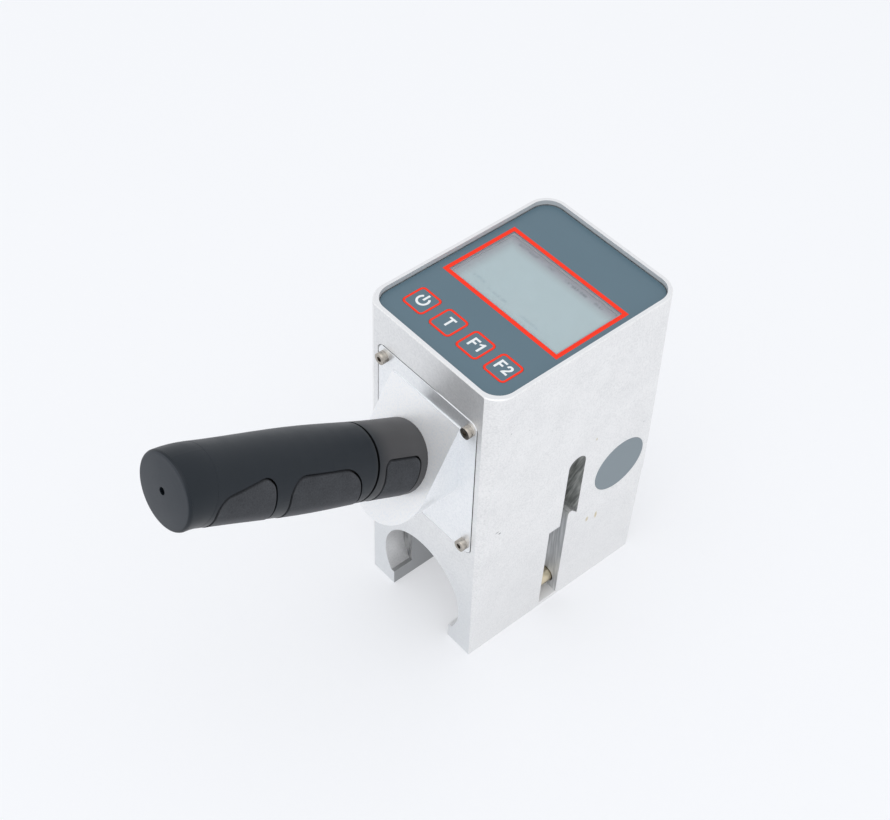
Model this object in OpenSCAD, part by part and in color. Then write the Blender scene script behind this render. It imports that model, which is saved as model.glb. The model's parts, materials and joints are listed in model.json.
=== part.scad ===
// Handheld chain tension meter: a slotted load block that stands over a chain,
// with a display and keys on top and a grip on a wedge bracket at the front.
// Millimetres. +Z is up, the grip points towards -Y, and the origin lies on the
// floor under the middle of the whole outline.

/* [Load block] */
// Width across the top rim
block_w = 82.1; // [76:0.1:110]
// Width across the feet, where the tapered sides end
foot_w = 68.6; // [62:0.1:76]
// Depth from the front face to the rear face
block_d = 105; // [96:0.5:140]
// Height from the feet to the rim
block_h = 173.5; // [168:0.5:210]
// Radius of the upright corners
corner_r = 11; // [8:0.5:14]
// Stock that the front cut takes off the corner rounding
front_skim = 0.73; // [0.2:0.01:2]
// Bevel along the outer edge of the rim
rim_bevel = 0.4; // [0.2:0.05:0.8]
// Set-back of the rear leg's outer face
rear_relief = 2.6; // [1:0.1:5]
// Height of that set-back
rear_relief_h = 58.8; // [40:0.1:59]

/* [Chain arch] */
// Clear width of the chain channel
channel_w = 39.2; // [28:0.1:42]
// Height of the arch centre over the floor
arch_z = 23; // [18:0.5:26]
// Radius of the round insert seat in the front face
seat_r = 26; // [22:0.1:28]
// Depth of the insert seat
seat_depth = 11; // [5:0.5:16]
// Height of the ledge on each front foot
foot_h = 8.5; // [4:0.1:12]

/* [Flexure slot] */
// Web that closes the lower slot at the floor
web_t = 2.5; // [1.5:0.1:4]
// Width of the lower slot
slot_low_w = 10.9; // [8:0.1:13]
// Width of the upper slot
slot_up_w = 10.1; // [8:0.1:12]
// Width of the neck that joins the two slots
neck_w = 4.4; // [3:0.1:6]
// Height of the ledge over the lower slot
step_z = 56.6; // [45:0.1:58]
// Height of the nose on the rear leg
nose_z = 62.8; // [61:0.1:66]
// Bevel on the rear of the nose
nose_bevel = 3.6; // [2:0.1:4]
// Radius on the front of the nose
nose_r = 1.6; // [0.8:0.1:1.8]
// Height of the round end of the upper slot
slot_top_z = 101.6; // [90:0.1:125]

/* [Gauge bore] */
// Distance of the gauge bore from the rear face
gauge_in = 20.6; // [18.5:0.1:24]
// Height of the gauge bore
gauge_z = 75.5; // [75:0.1:90]
// Radius of the caps that close the bore
cap_r = 15; // [13:0.1:15.5]
// Thickness of a cap at the height of the bore axis
cap_t = 4; // [3:0.1:8]
// Radius of the bore between the caps
gauge_r = 13; // [9:0.1:13]
// Length of a strain gauge along the bore
foil_l = 9; // [5:0.5:14]
// Thickness of a strain gauge with its cover
foil_t = 0.4; // [0.2:0.05:0.8]
// Arc of a strain gauge round the bore, in degrees
foil_arc = 34; // [20:1:60]

/* [Stop bolts] */
// Height of the stop bolts
stop_z = 9.5; // [9:0.5:12]
// Radius of a stop bolt
stop_r = 4; // [3:0.1:4]
// Radius of a stop bolt's head
stop_head_r = 5.5; // [5.1:0.1:6]
// Height of a stop bolt's head
stop_head_h = 6; // [4:0.5:8]
// Depth of its thread in the front leg
stop_thread = 14; // [8:0.5:20]

/* [Display pocket] */
// Width of the rim round the pocket
rim_t = 2; // [1.5:0.1:3]
// Depth of the overlay below the rim
overlay_drop = 2.6; // [1:0.1:4]
// Thickness of the overlay
overlay_t = 0.8; // [0.5:0.1:1.2]
// Thickness of the plate under the overlay
panel_t = 2; // [1.6:0.1:3]
// Ledge that carries that plate at the sides and rear
ledge_w = 4.5; // [3.5:0.1:5]
// Wall of the cavity behind the front face
front_wall = 9.3; // [8.5:0.1:10]
// Depth of the cavity under the ledge
cavity_h = 14; // [12:0.5:15]
// Radius of the cavity corners
cavity_r = 4; // [2:0.5:5]

/* [Display] */
// Distance of the display window from the sides of the pocket
window_side = 6.05; // [5.9:0.05:14]
// Depth of the display window
window_d = 37.1; // [26:0.1:40]
// Distance of the window centre behind the block centre
window_y = 6.1; // [3:0.1:10]
// Border of the display module round the window
lcd_border = 0.8; // [0.4:0.1:1]
// Thickness of the display module
lcd_t = 6; // [5:0.1:7]
// Thickness of the foam gasket over the module
foam_t = 0.5; // [0.3:0.1:1]
// Width of that gasket inside the window edge
foam_in = 1; // [0.5:0.1:2]

/* [Keys] */
// Side of a key
key_size = 12.7; // [9:0.1:13]
// Corner radius of a key
key_r = 2.2; // [0.5:0.1:3]
// Distance of the outer key centres from the sides of the pocket
key_side = 14; // [13:0.1:15]
// Distance of the key row from the front face
key_in = 18.35; // [17:0.05:20]
// Thickness of a key tile
key_t = 2; // [1.2:0.1:2.4]
// Travel of a key
key_travel = 0.4; // [0.2:0.05:0.6]
// Radius of the plunger under a key
plunger_r = 2.5; // [1.5:0.1:3]
// Side of a key switch on the board
switch_size = 6; // [4.5:0.1:6.2]
// Radius of a switch stem
stem_r = 1.7; // [1:0.1:2]
// Height of a switch stem over its body
stem_h = 0.5; // [0.3:0.1:1]

/* [Main board] */
// Thickness of the board
board_t = 1.6; // [1:0.1:2]
// Inset of the board screws from the board edges
post_in = 3.5; // [3.2:0.1:4]
// Radius of a standoff
post_r = 3; // [2.5:0.1:3.2]
// Radius of a board screw
post_screw_r = 1.2; // [0.9:0.1:1.4]
// Radius of a board screw's head
post_head_r = 2.2; // [1.8:0.1:2.4]
// Height of a board screw's head
post_head_h = 1.6; // [1:0.1:2]

/* [Battery bay] */
// Radius of a cell
cell_r = 7.1; // [5.2:0.1:7.2]
// Length of a cell with its pip
cell_l = 50; // [44:0.5:52]
// Radius of the pip
pip_r = 2.75; // [2:0.05:3.5]
// Height of the pip
pip_h = 1.5; // [1:0.1:2]
// Wall of the cell holder
holder_wall = 1.5; // [1:0.1:2]
// Height of the bay floor over the bracket's lower edge
bay_rise = 10; // [8:0.5:14]

/* [Handle bracket] */
// Width of the bracket plate
plate_w = 62.4; // [58:0.1:66]
// Height of the bracket plate
plate_h = 83.6; // [82:0.1:86]
// Distance of the plate's upper edge below the rim
plate_drop = 19.5; // [18:0.1:21]
// Thickness of the plate
plate_t = 5; // [4:0.1:6]
// Corner radius of the plate
plate_r = 4; // [2.5:0.1:5]
// Bevel along the front edge of the plate
plate_bevel = 0.4; // [0.2:0.05:0.6]
// Thickness of the gasket behind the plate
seal_t = 0.5; // [0.3:0.1:1]
// Half width of the wedge boss, also the radius of its lower end
boss_r = 21.5; // [20:0.1:22.5]
// Distance of the boss's upper edge below the plate's upper edge
boss_drop = 9; // [8:0.1:10]
// Height of the boss's upper edge over the plate
boss_lip = 0.5; // [0.3:0.1:2]
// Length of the boss from its upper edge to the centre of its round end
boss_l = 31.6; // [29:0.1:35]
// Rise of the handle over level, in degrees
handle_tilt = 29.4; // [28:0.2:34]
// Distance of the handle axis below the boss's upper edge, on the inclined face
handle_drop = 25.2; // [24:0.1:28]
// Distance of a cover screw from the sides of the plate
cover_in = 4.1; // [4:0.1:5]
// Distance of a cover screw from the upper and lower edges of the plate
cover_edge = 5.5; // [4.5:0.1:5.8]
// Radius of a cover screw
cover_r = 1.5; // [1.2:0.1:1.7]
// Radius of a cover screw's head
cover_head_r = 2.75; // [2.4:0.05:3]
// Height of a cover screw's head
cover_head_h = 3; // [1.8:0.1:3.4]
// Depth of its thread in the block
cover_thread = 8; // [5:0.5:10]

/* [Handle] */
// Outer diameter of the handle tube
tube_od = 22; // [19:0.5:23]
// Wall of the handle tube
tube_wall = 2; // [1.2:0.1:3]
// Depth of the tube's socket in the boss
socket_depth = 9.5; // [7:0.5:10]
// Wall between the socket and the bolt head
socket_web = 4; // [3:0.5:5]
// Length of the threaded plug in the tube
plug_l = 25; // [18:1:40]
// Radius of the handle bolt
bolt_r = 4; // [3:0.1:4.5]
// Radius of the handle bolt's head
bolt_head_r = 6.5; // [5.5:0.1:7]
// Height of the handle bolt's head
bolt_head_h = 4.6; // [3:0.1:4.8]
// Depth of the bolt's thread in the plug
bolt_thread = 20; // [12:1:22]

/* [Grip] */
// Length of the grip from the inclined face to the middle of its end face
grip_l = 128; // [120:0.5:150]
// Length of the collar, up to the ring groove
collar_l = 29.5; // [27:0.5:32]
// Width of the ring groove
ring_w = 1.3; // [0.8:0.1:2]
// Radius at the bottom of the ring groove
ring_r = 14; // [13:0.1:15]
// Grip radius at the inclined face
grip_r_root = 16.4; // [15.5:0.05:17]
// Largest grip radius, at the palm swell
grip_r_swell = 17.4; // [17:0.05:19]
// Grip radius along the bend at the free end
grip_r_end = 16.3; // [15.8:0.05:16.8]
// Length of the straight part at the inclined face
root_l = 13; // [8:1:20]
// Distance of the palm swell from the inclined face
swell_s = 62; // [58:1:75]
// Downward bend of the free end, in degrees
bend_tilt = 17; // [14:0.2:18.4]
// Radius of that bend
bend_r = 34; // [30:1:36]
// Rounding between the bend and the end face
end_r = 1.4; // [1:0.1:2.2]
// Rise of the domed end face over its rounded edge
end_rise = 0.8; // [0.4:0.1:1.6]
// Thickness of the end wall
end_wall = 7; // [6:0.5:10]
// Radius of the vent in the end wall
vent_r = 1.6; // [0.6:0.1:2]
// Distance of the vent below the grip axis
vent_drop = 1.2; // [0:0.1:3]

/* [Grip pads] */
// Thickness of the soft pads
pad_t = 1.4; // [0.8:0.1:2]
// Height of the soft pads over the grip
pad_proud = 0.2; // [0:0.05:0.5]
// Width of the groove round a pad
pad_groove = 0.9; // [0.5:0.1:1.2]
// Distance from the inclined face to the collar pad
collar_pad_in = 4.6; // [3.5:0.1:6]
// Distance from the collar pad to the ring groove
collar_pad_out = 3.4; // [2.5:0.1:5]
// Height of the collar pad's upper edge over the grip axis
collar_pad_top = 9.7; // [8:0.1:11]
// Corner radius of the collar pad, on the inclined face's side
collar_pad_near_r = 3; // [2:0.1:4]
// Corner radius of the collar pad, on the ring groove's side
collar_pad_far_r = 3.2; // [2:0.1:4]
// Distance from the ring groove to the middle pad
middle_pad_in = 11.7; // [11:0.1:14]
// Height of the middle pad's upper edge over the grip axis
middle_pad_top = 9.1; // [8:0.1:11]
// Corner radius of the middle pad, on the ring groove's side
middle_pad_near_r = 12; // [8:0.5:13]
// Corner radius of the middle pad, on the outer pad's side
middle_pad_far_r = 6.5; // [4:0.5:8]
// Distance between the upper edges of the middle pad and the outer pad
pad_space = 8.1; // [7:0.1:10]
// Distance from the outer pad's high corner to the end face
outer_pad_in = 39.4; // [36:0.1:42]
// Distance from the outer pad's low corner to the end face
outer_pad_out = 13.1; // [12.8:0.1:16]
// Height of the outer pad's high corner over the grip axis
outer_pad_high = 10.8; // [9:0.1:12]
// Height of the outer pad's low corner over the grip axis
outer_pad_low = 3.6; // [2:0.1:5]
// Radius of the outer pad's high corner
outer_pad_high_r = 5.5; // [4:0.5:7]
// Radius of the outer pad's low corner
outer_pad_low_r = 6; // [4:0.5:8]

/* [Clearances] */
// Gap round the overlay
overlay_gap = 0.3; // [0.15:0.05:0.5]
// Gap round the panel plate, window and caps
seat_gap = 0.1; // [0.05:0.01:0.2]
// Gap beside and above the bracket plate
plate_gap = 0.45; // [0.2:0.05:0.6]
// Gap below the bracket plate
plate_seat = 0.05; // [0.02:0.01:0.1]
// Radial gap of a stop bolt in the rear leg
stop_gap = 0.5; // [0.3:0.05:0.8]
// Running gap round a key
key_gap = 0.1; // [0.06:0.01:0.2]
// Gap between a plunger at full travel and its switch
stem_gap = 0.1; // [0.05:0.01:0.2]
// Radial gap of a screw in a plain hole
screw_gap = 0.2; // [0.1:0.05:0.4]
// Radial gap in a thread
thread_gap = 0.05; // [0.02:0.01:0.1]
// Gap round the cells, their holder and the board
loose_gap = 0.3; // [0.2:0.05:0.5]
// Gap in a bonded or pushed-on fit
bond_gap = 0.03; // [0.02:0.01:0.1]

/* [Hidden] */
$fn = 64;
// Overshoot of a cut past the face that it opens
cut = 1;
// Stock that the tapered side cut takes off at the rim
side_skim = 0.1;
front_y = -block_d / 2;
rear_y = block_d / 2;

pocket_w = block_w - 2 * rim_t;
pocket_d = block_d - 2 * rim_t;
pocket_r = corner_r - rim_t;
overlay_z = block_h - overlay_drop;
panel_z = overlay_z - overlay_t;
ledge_z = panel_z - panel_t;
cavity_z = ledge_z - cavity_h;
cavity_w = pocket_w - 2 * ledge_w;
cavity_front = front_y + front_wall;
cavity_rear = pocket_d / 2 - ledge_w;
cavity_d = cavity_rear - cavity_front;
cavity_y = (cavity_front + cavity_rear) / 2;

window_w = pocket_w - 2 * window_side;
board_z = panel_z - foam_t - lcd_t;
board_w = cavity_w - 2 * loose_gap;
board_d = cavity_d - 2 * loose_gap;
lcd_w = window_w + 2 * lcd_border;
lcd_d = window_d + 2 * lcd_border;
key_y = front_y + key_in;
key_pitch = (pocket_w - 2 * key_side) / 3;
key_x = [for (i = [0:3]) (i - 1.5) * key_pitch];
plunger_z = ledge_z;
stem_z = plunger_z - key_travel - stem_gap;

neck_front = -neck_w / 2;
neck_rear = neck_w / 2;
slot_up_r = slot_up_w / 2;
gauge_y = rear_y - gauge_in;
leg_rear = rear_y - rear_relief;
stop_x = (channel_w / 2 + side_x(stop_z)) / 2;
stop_seat = leg_rear - stop_head_h - cut;
stop_tip = neck_rear - slot_low_w - stop_thread;

plate_z = block_h - plate_drop - plate_h;
plate_mid_z = plate_z + plate_h / 2;
plate_back = front_y + plate_t;
cover_floor = plate_back + seal_t;
cover_x = plate_w / 2 - cover_in;
cover_dz = plate_h / 2 - cover_edge;
cell_step = 2 * cell_r + loose_gap;
holder_w = 2 * cell_step + loose_gap + 2 * holder_wall;
holder_d = 2 * cell_step + holder_wall;
holder_h = cell_l + 2 * loose_gap + 2 * holder_wall;
bay_z = plate_z + bay_rise;
bay_w = holder_w + 2 * loose_gap;
bay_h = holder_h + loose_gap;
bay_back = cover_floor + holder_d + loose_gap;
// Radius of the wire passages between the hollows
wire_r = 2.5;

boss_top_z = plate_z + plate_h - boss_drop;
boss_z = boss_top_z - boss_l;
handle_z = boss_top_z - handle_drop;
handle_y = front_y - boss_lip - handle_drop * tan(handle_tilt);
tube_r = tube_od / 2;
tube_end = grip_l - end_wall;
grip_bore_r = tube_r + bond_gap;
sleeve_start = collar_l + ring_w;

// Start of the bend in the grip
bend_s = grip_l - bend_r * sin(bend_tilt) - (end_r + end_rise) * cos(bend_tilt);
// Middle of the rim at the free end: distance along the grip, and below its axis
rim_s = bend_s + bend_r * sin(bend_tilt);
rim_sag = bend_r * (1 - cos(bend_tilt));
// Step from one turned form of the free end down to the next, and the radius after both steps
end_step = 0.05;
rim_r = grip_r_end - 2 * end_step;
// Reach of the grip in front of the block, over its rounded end
grip_reach = handle_y - rim_s * cos(handle_tilt) - rim_sag * sin(handle_tilt)
    - (rim_r - end_r) * sin(handle_tilt - bend_tilt) - end_r;
// Shift that puts the origin under the middle of the whole outline
origin_y = -(grip_reach + rear_y) / 2;

// Upper corners of the soft pads, near and far: distance along the grip, height over its axis
collar_pad_near = [collar_pad_in, collar_pad_top];
collar_pad_far = [collar_l - collar_pad_out, collar_pad_top];
outer_pad_near = [grip_l - outer_pad_in, outer_pad_high];
outer_pad_far = [grip_l - outer_pad_out, outer_pad_low];
middle_pad_near = [sleeve_start + middle_pad_in, middle_pad_top];
middle_pad_far = [outer_pad_near[0] - pad_space, middle_pad_top];
// Run of the pads' two sides towards the bracket, per millimetre of depth
collar_pad_slant = [0.05, 0.16];
middle_pad_slant = [0.46, 0.3];
outer_pad_slant = [0.31, 0.21];
// Depth below the grip axis down to which the pads are cut, clear of the grip
pad_deep = -1.5 * grip_r_swell;
// Radius of the corners down there
pad_deep_r = 3;
// Middle lines of the grooves round the pads, and the radii of their corners
collar_pad_outline = pad_outline(collar_pad_near, collar_pad_far, collar_pad_slant);
middle_pad_outline = pad_outline(middle_pad_near, middle_pad_far, middle_pad_slant);
outer_pad_outline = pad_outline(outer_pad_near, outer_pad_far, outer_pad_slant);
collar_pad_r = [pad_deep_r, pad_deep_r, collar_pad_far_r, collar_pad_near_r];
middle_pad_r = [pad_deep_r, pad_deep_r, middle_pad_far_r, middle_pad_near_r];
outer_pad_r = [pad_deep_r, pad_deep_r, outer_pad_low_r, outer_pad_high_r];

// Half width of the tapered block at a height
function side_x(z) = foot_w / 2 + (block_w - foot_w) / 2 * z / block_h;

// Smooth step from a to b while t goes from 0 to 1
function ease(a, b, t) = a + (b - a) * (1 - cos(180 * t)) / 2;

// Grip radius at a distance from the inclined face
function grip_r(s) =
    s < root_l ? grip_r_root
    : s < swell_s ? ease(grip_r_root, grip_r_swell, (s - root_l) / (swell_s - root_l))
    : ease(grip_r_swell, grip_r_end, (s - swell_s) / (bend_s - swell_s));

function unit(v) = v / norm(v);
function edge_normal(a, b) = let (e = unit(b - a)) [e[1], -e[0]];

// A convex outline with its sides moved outwards by d
function grown(p, d) =
    let (n = len(p))
    [for (i = [0:n - 1])
        let (m = edge_normal(p[(i + n - 1) % n], p[i]), k = edge_normal(p[i], p[(i + 1) % n]))
        p[i] + d * (m + k) / (1 + m * k)];

// Arc of radius r that rounds corner b between a and c
function corner_arc(a, b, c, r, steps) =
    let (u = unit(a - b), v = unit(c - b), half = acos(u * v) / 2,
        centre = b + unit(u + v) * r / sin(half),
        from = b + u * r / tan(half) - centre,
        start = atan2(from[1], from[0]), sweep = 180 - 2 * half)
    [for (i = [0:steps]) let (t = start + sweep * i / steps) centre + r * [cos(t), sin(t)]];

// A convex outline with round corners, each of its own radius
function rounded(p, r, steps = 6) =
    let (n = len(p))
    [for (i = [0:n - 1]) each corner_arc(p[(i + n - 1) % n], p[i], p[(i + 1) % n], r[i], steps)];

// Outline below two upper corners, with the slants of its two sides
function pad_outline(near, far, slant) =
    [[near[0] - slant[0] * (near[1] - pad_deep), pad_deep],
        [far[0] - slant[1] * (far[1] - pad_deep), pad_deep], far, near];

module round_rect(w, d, r) {
    square([w - 2 * r, d], center = true);
    square([w, d - 2 * r], center = true);
    for (x = [-1, 1], y = [-1, 1])
        translate([x * (w / 2 - r), y * (d / 2 - r)]) circle(r);
}

// Cut for a bevel of c along the upper edge of an outline whose top lies at z = 0
module edge_bevel(w, d, r, c) {
    for (turn = [0, 180]) {
        rotate([0, 0, turn]) translate([w / 2, 0, 0]) bevel_run(d, c);
        rotate([0, 0, turn + 90]) translate([d / 2, 0, 0]) bevel_run(w, c);
    }
    for (i = [0:3])
        translate([(w / 2 - r) * (i == 0 || i == 3 ? 1 : -1), (d / 2 - r) * (i < 2 ? 1 : -1), 0])
            rotate([0, 0, 90 * i]) rotate_extrude(angle = 90) translate([r, 0]) bevel_profile(c);
}

module bevel_run(l, c) {
    rotate([90, 0, 0]) linear_extrude(l, center = true) bevel_profile(c);
}

module bevel_profile(c) {
    polygon([[-c - cut, cut], [cut, -c - cut], [cut, cut]]);
}

// Extrusion of an outline in X and Z along Y
module along_y(from, to) {
    translate([0, to, 0]) rotate([90, 0, 0]) linear_extrude(to - from) children();
}

// Extrusion of an outline in Y and Z along X
module along_x(from, to) {
    translate([from, 0, 0]) rotate([90, 0, 90]) linear_extrude(to - from) children();
}

// Frame of the handle: +Z runs out along the grip and +Y is its upper side
module on_handle() {
    translate([0, handle_y, handle_z]) rotate([90 - handle_tilt, 0, 0]) children();
}

// Frame of the whole part
module placed() {
    translate([0, origin_y, 0]) children();
}

// Load block

// Wedge between the two tapered sides, past the given rise over the rim
module tapered_sides(rise) {
    top = block_h + rise;
    along_y(front_y, rear_y)
        polygon([[-side_x(-rise), -rise], [side_x(-rise), -rise], [side_x(top), top], [-side_x(top), top]]);
}

module block_stock() {
    intersection() {
        translate([0, -front_skim / 2, 0])
            linear_extrude(block_h)
                round_rect(block_w + 2 * side_skim, block_d + front_skim, corner_r);
        tapered_sides(cut);
    }
}

module arch_cut() {
    along_y(front_y - cut, rear_y + cut) {
        translate([0, arch_z]) circle(channel_w / 2);
        translate([-channel_w / 2, -cut]) square([channel_w, arch_z + cut]);
    }
    along_y(front_y - cut, front_y + seat_depth)
        difference() {
            translate([0, arch_z]) circle(seat_r);
            translate([-seat_r, arch_z - 2 * seat_r]) square([2 * seat_r, 2 * seat_r - arch_z + foot_h]);
        }
}

module slot_outline() {
    low_front = neck_rear - slot_low_w;
    up_rear = neck_front + slot_up_w;
    top_z = slot_top_z - slot_up_r;
    translate([low_front, web_t]) square([slot_low_w, step_z - web_t]);
    translate([neck_front, step_z - cut]) square([neck_w, nose_z + 2 * cut - step_z]);
    difference() {
        translate([neck_front, nose_z - nose_bevel]) square([slot_up_w, top_z - nose_z + nose_bevel]);
        difference() {
            polygon([[neck_rear, step_z], [up_rear + cut, step_z], [up_rear + cut, nose_z - nose_bevel - cut],
                [up_rear - nose_bevel, nose_z], [neck_rear, nose_z]]);
            translate([neck_rear, nose_z - nose_r]) square(nose_r);
        }
        translate([neck_rear + nose_r, nose_z - nose_r]) circle(nose_r);
    }
    translate([neck_front + slot_up_r, top_z]) circle(slot_up_r);
}

module gauge_bore_cut() {
    translate([0, gauge_y, gauge_z]) {
        rotate([0, 90, 0]) cylinder(h = block_w + 2 * cut, r = gauge_r, center = true);
        for (side = [-1, 1])
            rotate([0, side * 90, 0])
                translate([0, 0, side_x(gauge_z) - cap_t]) cylinder(h = block_w / 2, r = cap_r);
    }
}

module stop_bolt_cut() {
    for (side = [-1, 1])
        translate([side * stop_x, 0, stop_z]) {
            along_y(stop_tip - cut, 0) circle(stop_r);
            along_y(0, leg_rear) circle(stop_r + stop_gap);
            along_y(stop_seat, rear_y + cut) circle(stop_head_r + screw_gap);
        }
}

module pocket_cut() {
    translate([0, 0, ledge_z])
        linear_extrude(block_h - ledge_z + cut) round_rect(pocket_w, pocket_d, pocket_r);
    translate([0, cavity_y, cavity_z])
        linear_extrude(cavity_h + cut) round_rect(cavity_w, cavity_d, cavity_r);
    translate([0, gauge_y, gauge_z]) cylinder(h = cavity_z + cut - gauge_z, r = wire_r);
    translate([0, (cover_floor + bay_back) / 2, bay_z + bay_h - cut])
        cylinder(h = cavity_z + 2 * cut - bay_z - bay_h, r = wire_r);
}

module bracket_cut() {
    translate([0, 0, plate_mid_z]) {
        translate([0, 0, (plate_gap - plate_seat) / 2])
            along_y(front_y - cut, cover_floor)
                round_rect(plate_w + 2 * plate_gap, plate_h + plate_gap + plate_seat, plate_r + plate_gap);
        for (x = [-1, 1], z = [-1, 1])
            translate([x * cover_x, 0, z * cover_dz])
                along_y(cover_floor - cut, cover_floor + cover_thread) circle(cover_r);
    }
    along_y(cover_floor - cut, bay_back)
        translate([-bay_w / 2, bay_z]) square([bay_w, bay_h]);
}

module load_block() {
    color([0.88, 0.89, 0.90])
        difference() {
            block_stock();
            arch_cut();
            along_x(-block_w, block_w) slot_outline();
            gauge_bore_cut();
            stop_bolt_cut();
            pocket_cut();
            bracket_cut();
            translate([0, -front_skim / 2, block_h]) edge_bevel(block_w, block_d + front_skim, corner_r, rim_bevel);
            translate([0, front_y, block_h]) rotate([0, 0, -90]) bevel_run(block_w, rim_bevel);
            translate([-block_w, leg_rear, -cut]) cube([2 * block_w, rear_relief + cut, rear_relief_h + cut]);
        }
}

module gauge_caps() {
    color([0.54, 0.58, 0.61])
        intersection() {
            translate([0, gauge_y, gauge_z])
                for (side = [-1, 1])
                    rotate([0, side * 90, 0])
                        translate([0, 0, side_x(gauge_z) - cap_t]) cylinder(h = block_w / 2, r = cap_r - seat_gap);
            tapered_sides(cut);
        }
}

module strain_gauges() {
    color([0.78, 0.62, 0.30])
        translate([0, gauge_y, gauge_z])
            rotate([0, 90, 0])
                for (quarter = [0:3])
                    rotate([0, 0, 45 + 90 * quarter - foil_arc / 2])
                        rotate_extrude(angle = foil_arc)
                            translate([gauge_r - bond_gap - foil_t, -foil_l / 2]) square([foil_t, foil_l]);
}

module stop_bolts() {
    color([0.80, 0.72, 0.45])
        for (side = [-1, 1])
            translate([side * stop_x, 0, stop_z])
                difference() {
                    union() {
                        along_y(stop_tip, stop_seat + cut / 2) circle(stop_r - thread_gap);
                        along_y(stop_seat, stop_seat + stop_head_h) circle(stop_head_r);
                    }
                    along_y(stop_seat + stop_head_h / 2, leg_rear) circle(r = stop_head_r / 2, $fn = 6);
                }
}

// Display, keys and electronics

module key_row(size) {
    for (x = key_x)
        translate([x, key_y]) round_rect(size, size, key_r);
}

module keypad_overlay() {
    color([0.40, 0.49, 0.53])
        translate([0, 0, panel_z])
            linear_extrude(overlay_t)
                difference() {
                    round_rect(pocket_w - 2 * overlay_gap, pocket_d - 2 * overlay_gap, pocket_r - overlay_gap);
                    translate([0, window_y]) square([window_w + 2 * seat_gap, window_d + 2 * seat_gap], center = true);
                    key_row(key_size + 2 * key_gap);
                }
}

module panel_plate() {
    color([0.70, 0.71, 0.72])
        translate([0, 0, ledge_z])
            linear_extrude(panel_t)
                difference() {
                    round_rect(pocket_w - 2 * seat_gap, pocket_d - 2 * seat_gap, pocket_r - seat_gap);
                    translate([0, window_y]) square([lcd_w + 2 * seat_gap, lcd_d + 2 * seat_gap], center = true);
                    key_row(key_size + 2 * key_gap);
                }
}

module key_tile(place) {
    translate([key_x[place], key_y, 0]) {
        translate([0, 0, overlay_z - key_t])
            linear_extrude(key_t) round_rect(key_size, key_size, key_r);
        translate([0, 0, plunger_z]) cylinder(h = overlay_z - plunger_z, r = plunger_r);
    }
}

module power_key() {
    color([0.36, 0.44, 0.48]) key_tile(0);
}

module tare_key() {
    color([0.36, 0.44, 0.48]) key_tile(1);
}

module f1_key() {
    color([0.36, 0.44, 0.48]) key_tile(2);
}

module f2_key() {
    color([0.36, 0.44, 0.48]) key_tile(3);
}

module display_window() {
    color([0.69, 0.76, 0.78, 0.5])
        translate([-window_w / 2, window_y - window_d / 2, panel_z]) cube([window_w, window_d, overlay_t]);
}

module window_gasket() {
    color([0.12, 0.12, 0.13])
        translate([0, window_y, panel_z - foam_t])
            linear_extrude(foam_t)
                difference() {
                    square([lcd_w, lcd_d], center = true);
                    square([window_w - 2 * foam_in, window_d - 2 * foam_in], center = true);
                }
}

module lcd_module() {
    color([0.66, 0.73, 0.75])
        translate([-lcd_w / 2, window_y - lcd_d / 2, board_z]) cube([lcd_w, lcd_d, lcd_t]);
}

module key_switches() {
    color([0.15, 0.15, 0.16])
        for (x = key_x)
            translate([x, key_y, board_z]) {
                translate([-switch_size / 2, -switch_size / 2, 0])
                    cube([switch_size, switch_size, stem_z - stem_h - board_z]);
                cylinder(h = stem_z - board_z, r = stem_r);
            }
}

// Copies at the four board screws
module at_posts() {
    for (x = [-1, 1], y = [-1, 1])
        translate([x * (board_w / 2 - post_in), cavity_y + y * (board_d / 2 - post_in), 0]) children();
}

module main_board() {
    color([0.10, 0.34, 0.20])
        difference() {
            translate([0, cavity_y, board_z - board_t])
                linear_extrude(board_t) round_rect(board_w, board_d, cavity_r - loose_gap);
            at_posts() translate([0, 0, cavity_z]) cylinder(h = board_z + cut - cavity_z, r = post_screw_r + screw_gap);
        }
}

module board_standoffs() {
    color([0.78, 0.66, 0.36])
        at_posts()
            translate([0, 0, cavity_z])
                difference() {
                    cylinder(h = board_z - board_t - cavity_z, r = post_r);
                    translate([0, 0, cut]) cylinder(h = board_z - cavity_z, r = post_screw_r + thread_gap);
                }
}

module board_screws() {
    shank = (board_z - board_t - cavity_z) / 2;
    color([0.62, 0.63, 0.65])
        at_posts()
            difference() {
                union() {
                    translate([0, 0, board_z]) cylinder(h = post_head_h, r = post_head_r);
                    translate([0, 0, board_z - board_t - shank])
                        cylinder(h = shank + board_t + post_head_h / 2, r = post_screw_r);
                }
                translate([0, 0, board_z + post_head_h / 2]) cylinder(h = post_head_h, r = post_head_r / 2, $fn = 6);
            }
}

// Battery bay

module battery_holder() {
    inner_w = holder_w - 2 * holder_wall;
    color([0.13, 0.13, 0.14])
        translate([0, bay_back - holder_d, bay_z])
            difference() {
                translate([-holder_w / 2, 0, 0]) cube([holder_w, holder_d, holder_h]);
                translate([-inner_w / 2, -cut, holder_wall])
                    cube([inner_w, holder_d - holder_wall + cut, holder_h - 2 * holder_wall]);
            }
}

module battery_cells() {
    color([0.75, 0.42, 0.16])
        for (column = [-1, 1], row = [0, 1])
            translate([column * cell_step / 2, bay_back - holder_wall - (row + 0.5) * cell_step,
                bay_z + holder_wall + loose_gap]) {
                cylinder(h = cell_l - pip_h, r = cell_r);
                cylinder(h = cell_l, r = pip_r);
            }
}

// Handle bracket

module tongue() {
    translate([0, boss_z]) circle(boss_r);
    translate([-boss_r, boss_z]) square([2 * boss_r, boss_top_z - boss_z]);
}

// Everything in front of the inclined face
module inclined_cut() {
    reach = 2 * block_h;
    on_handle() translate([-reach / 2, -reach / 2, 0]) cube(reach);
}

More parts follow.
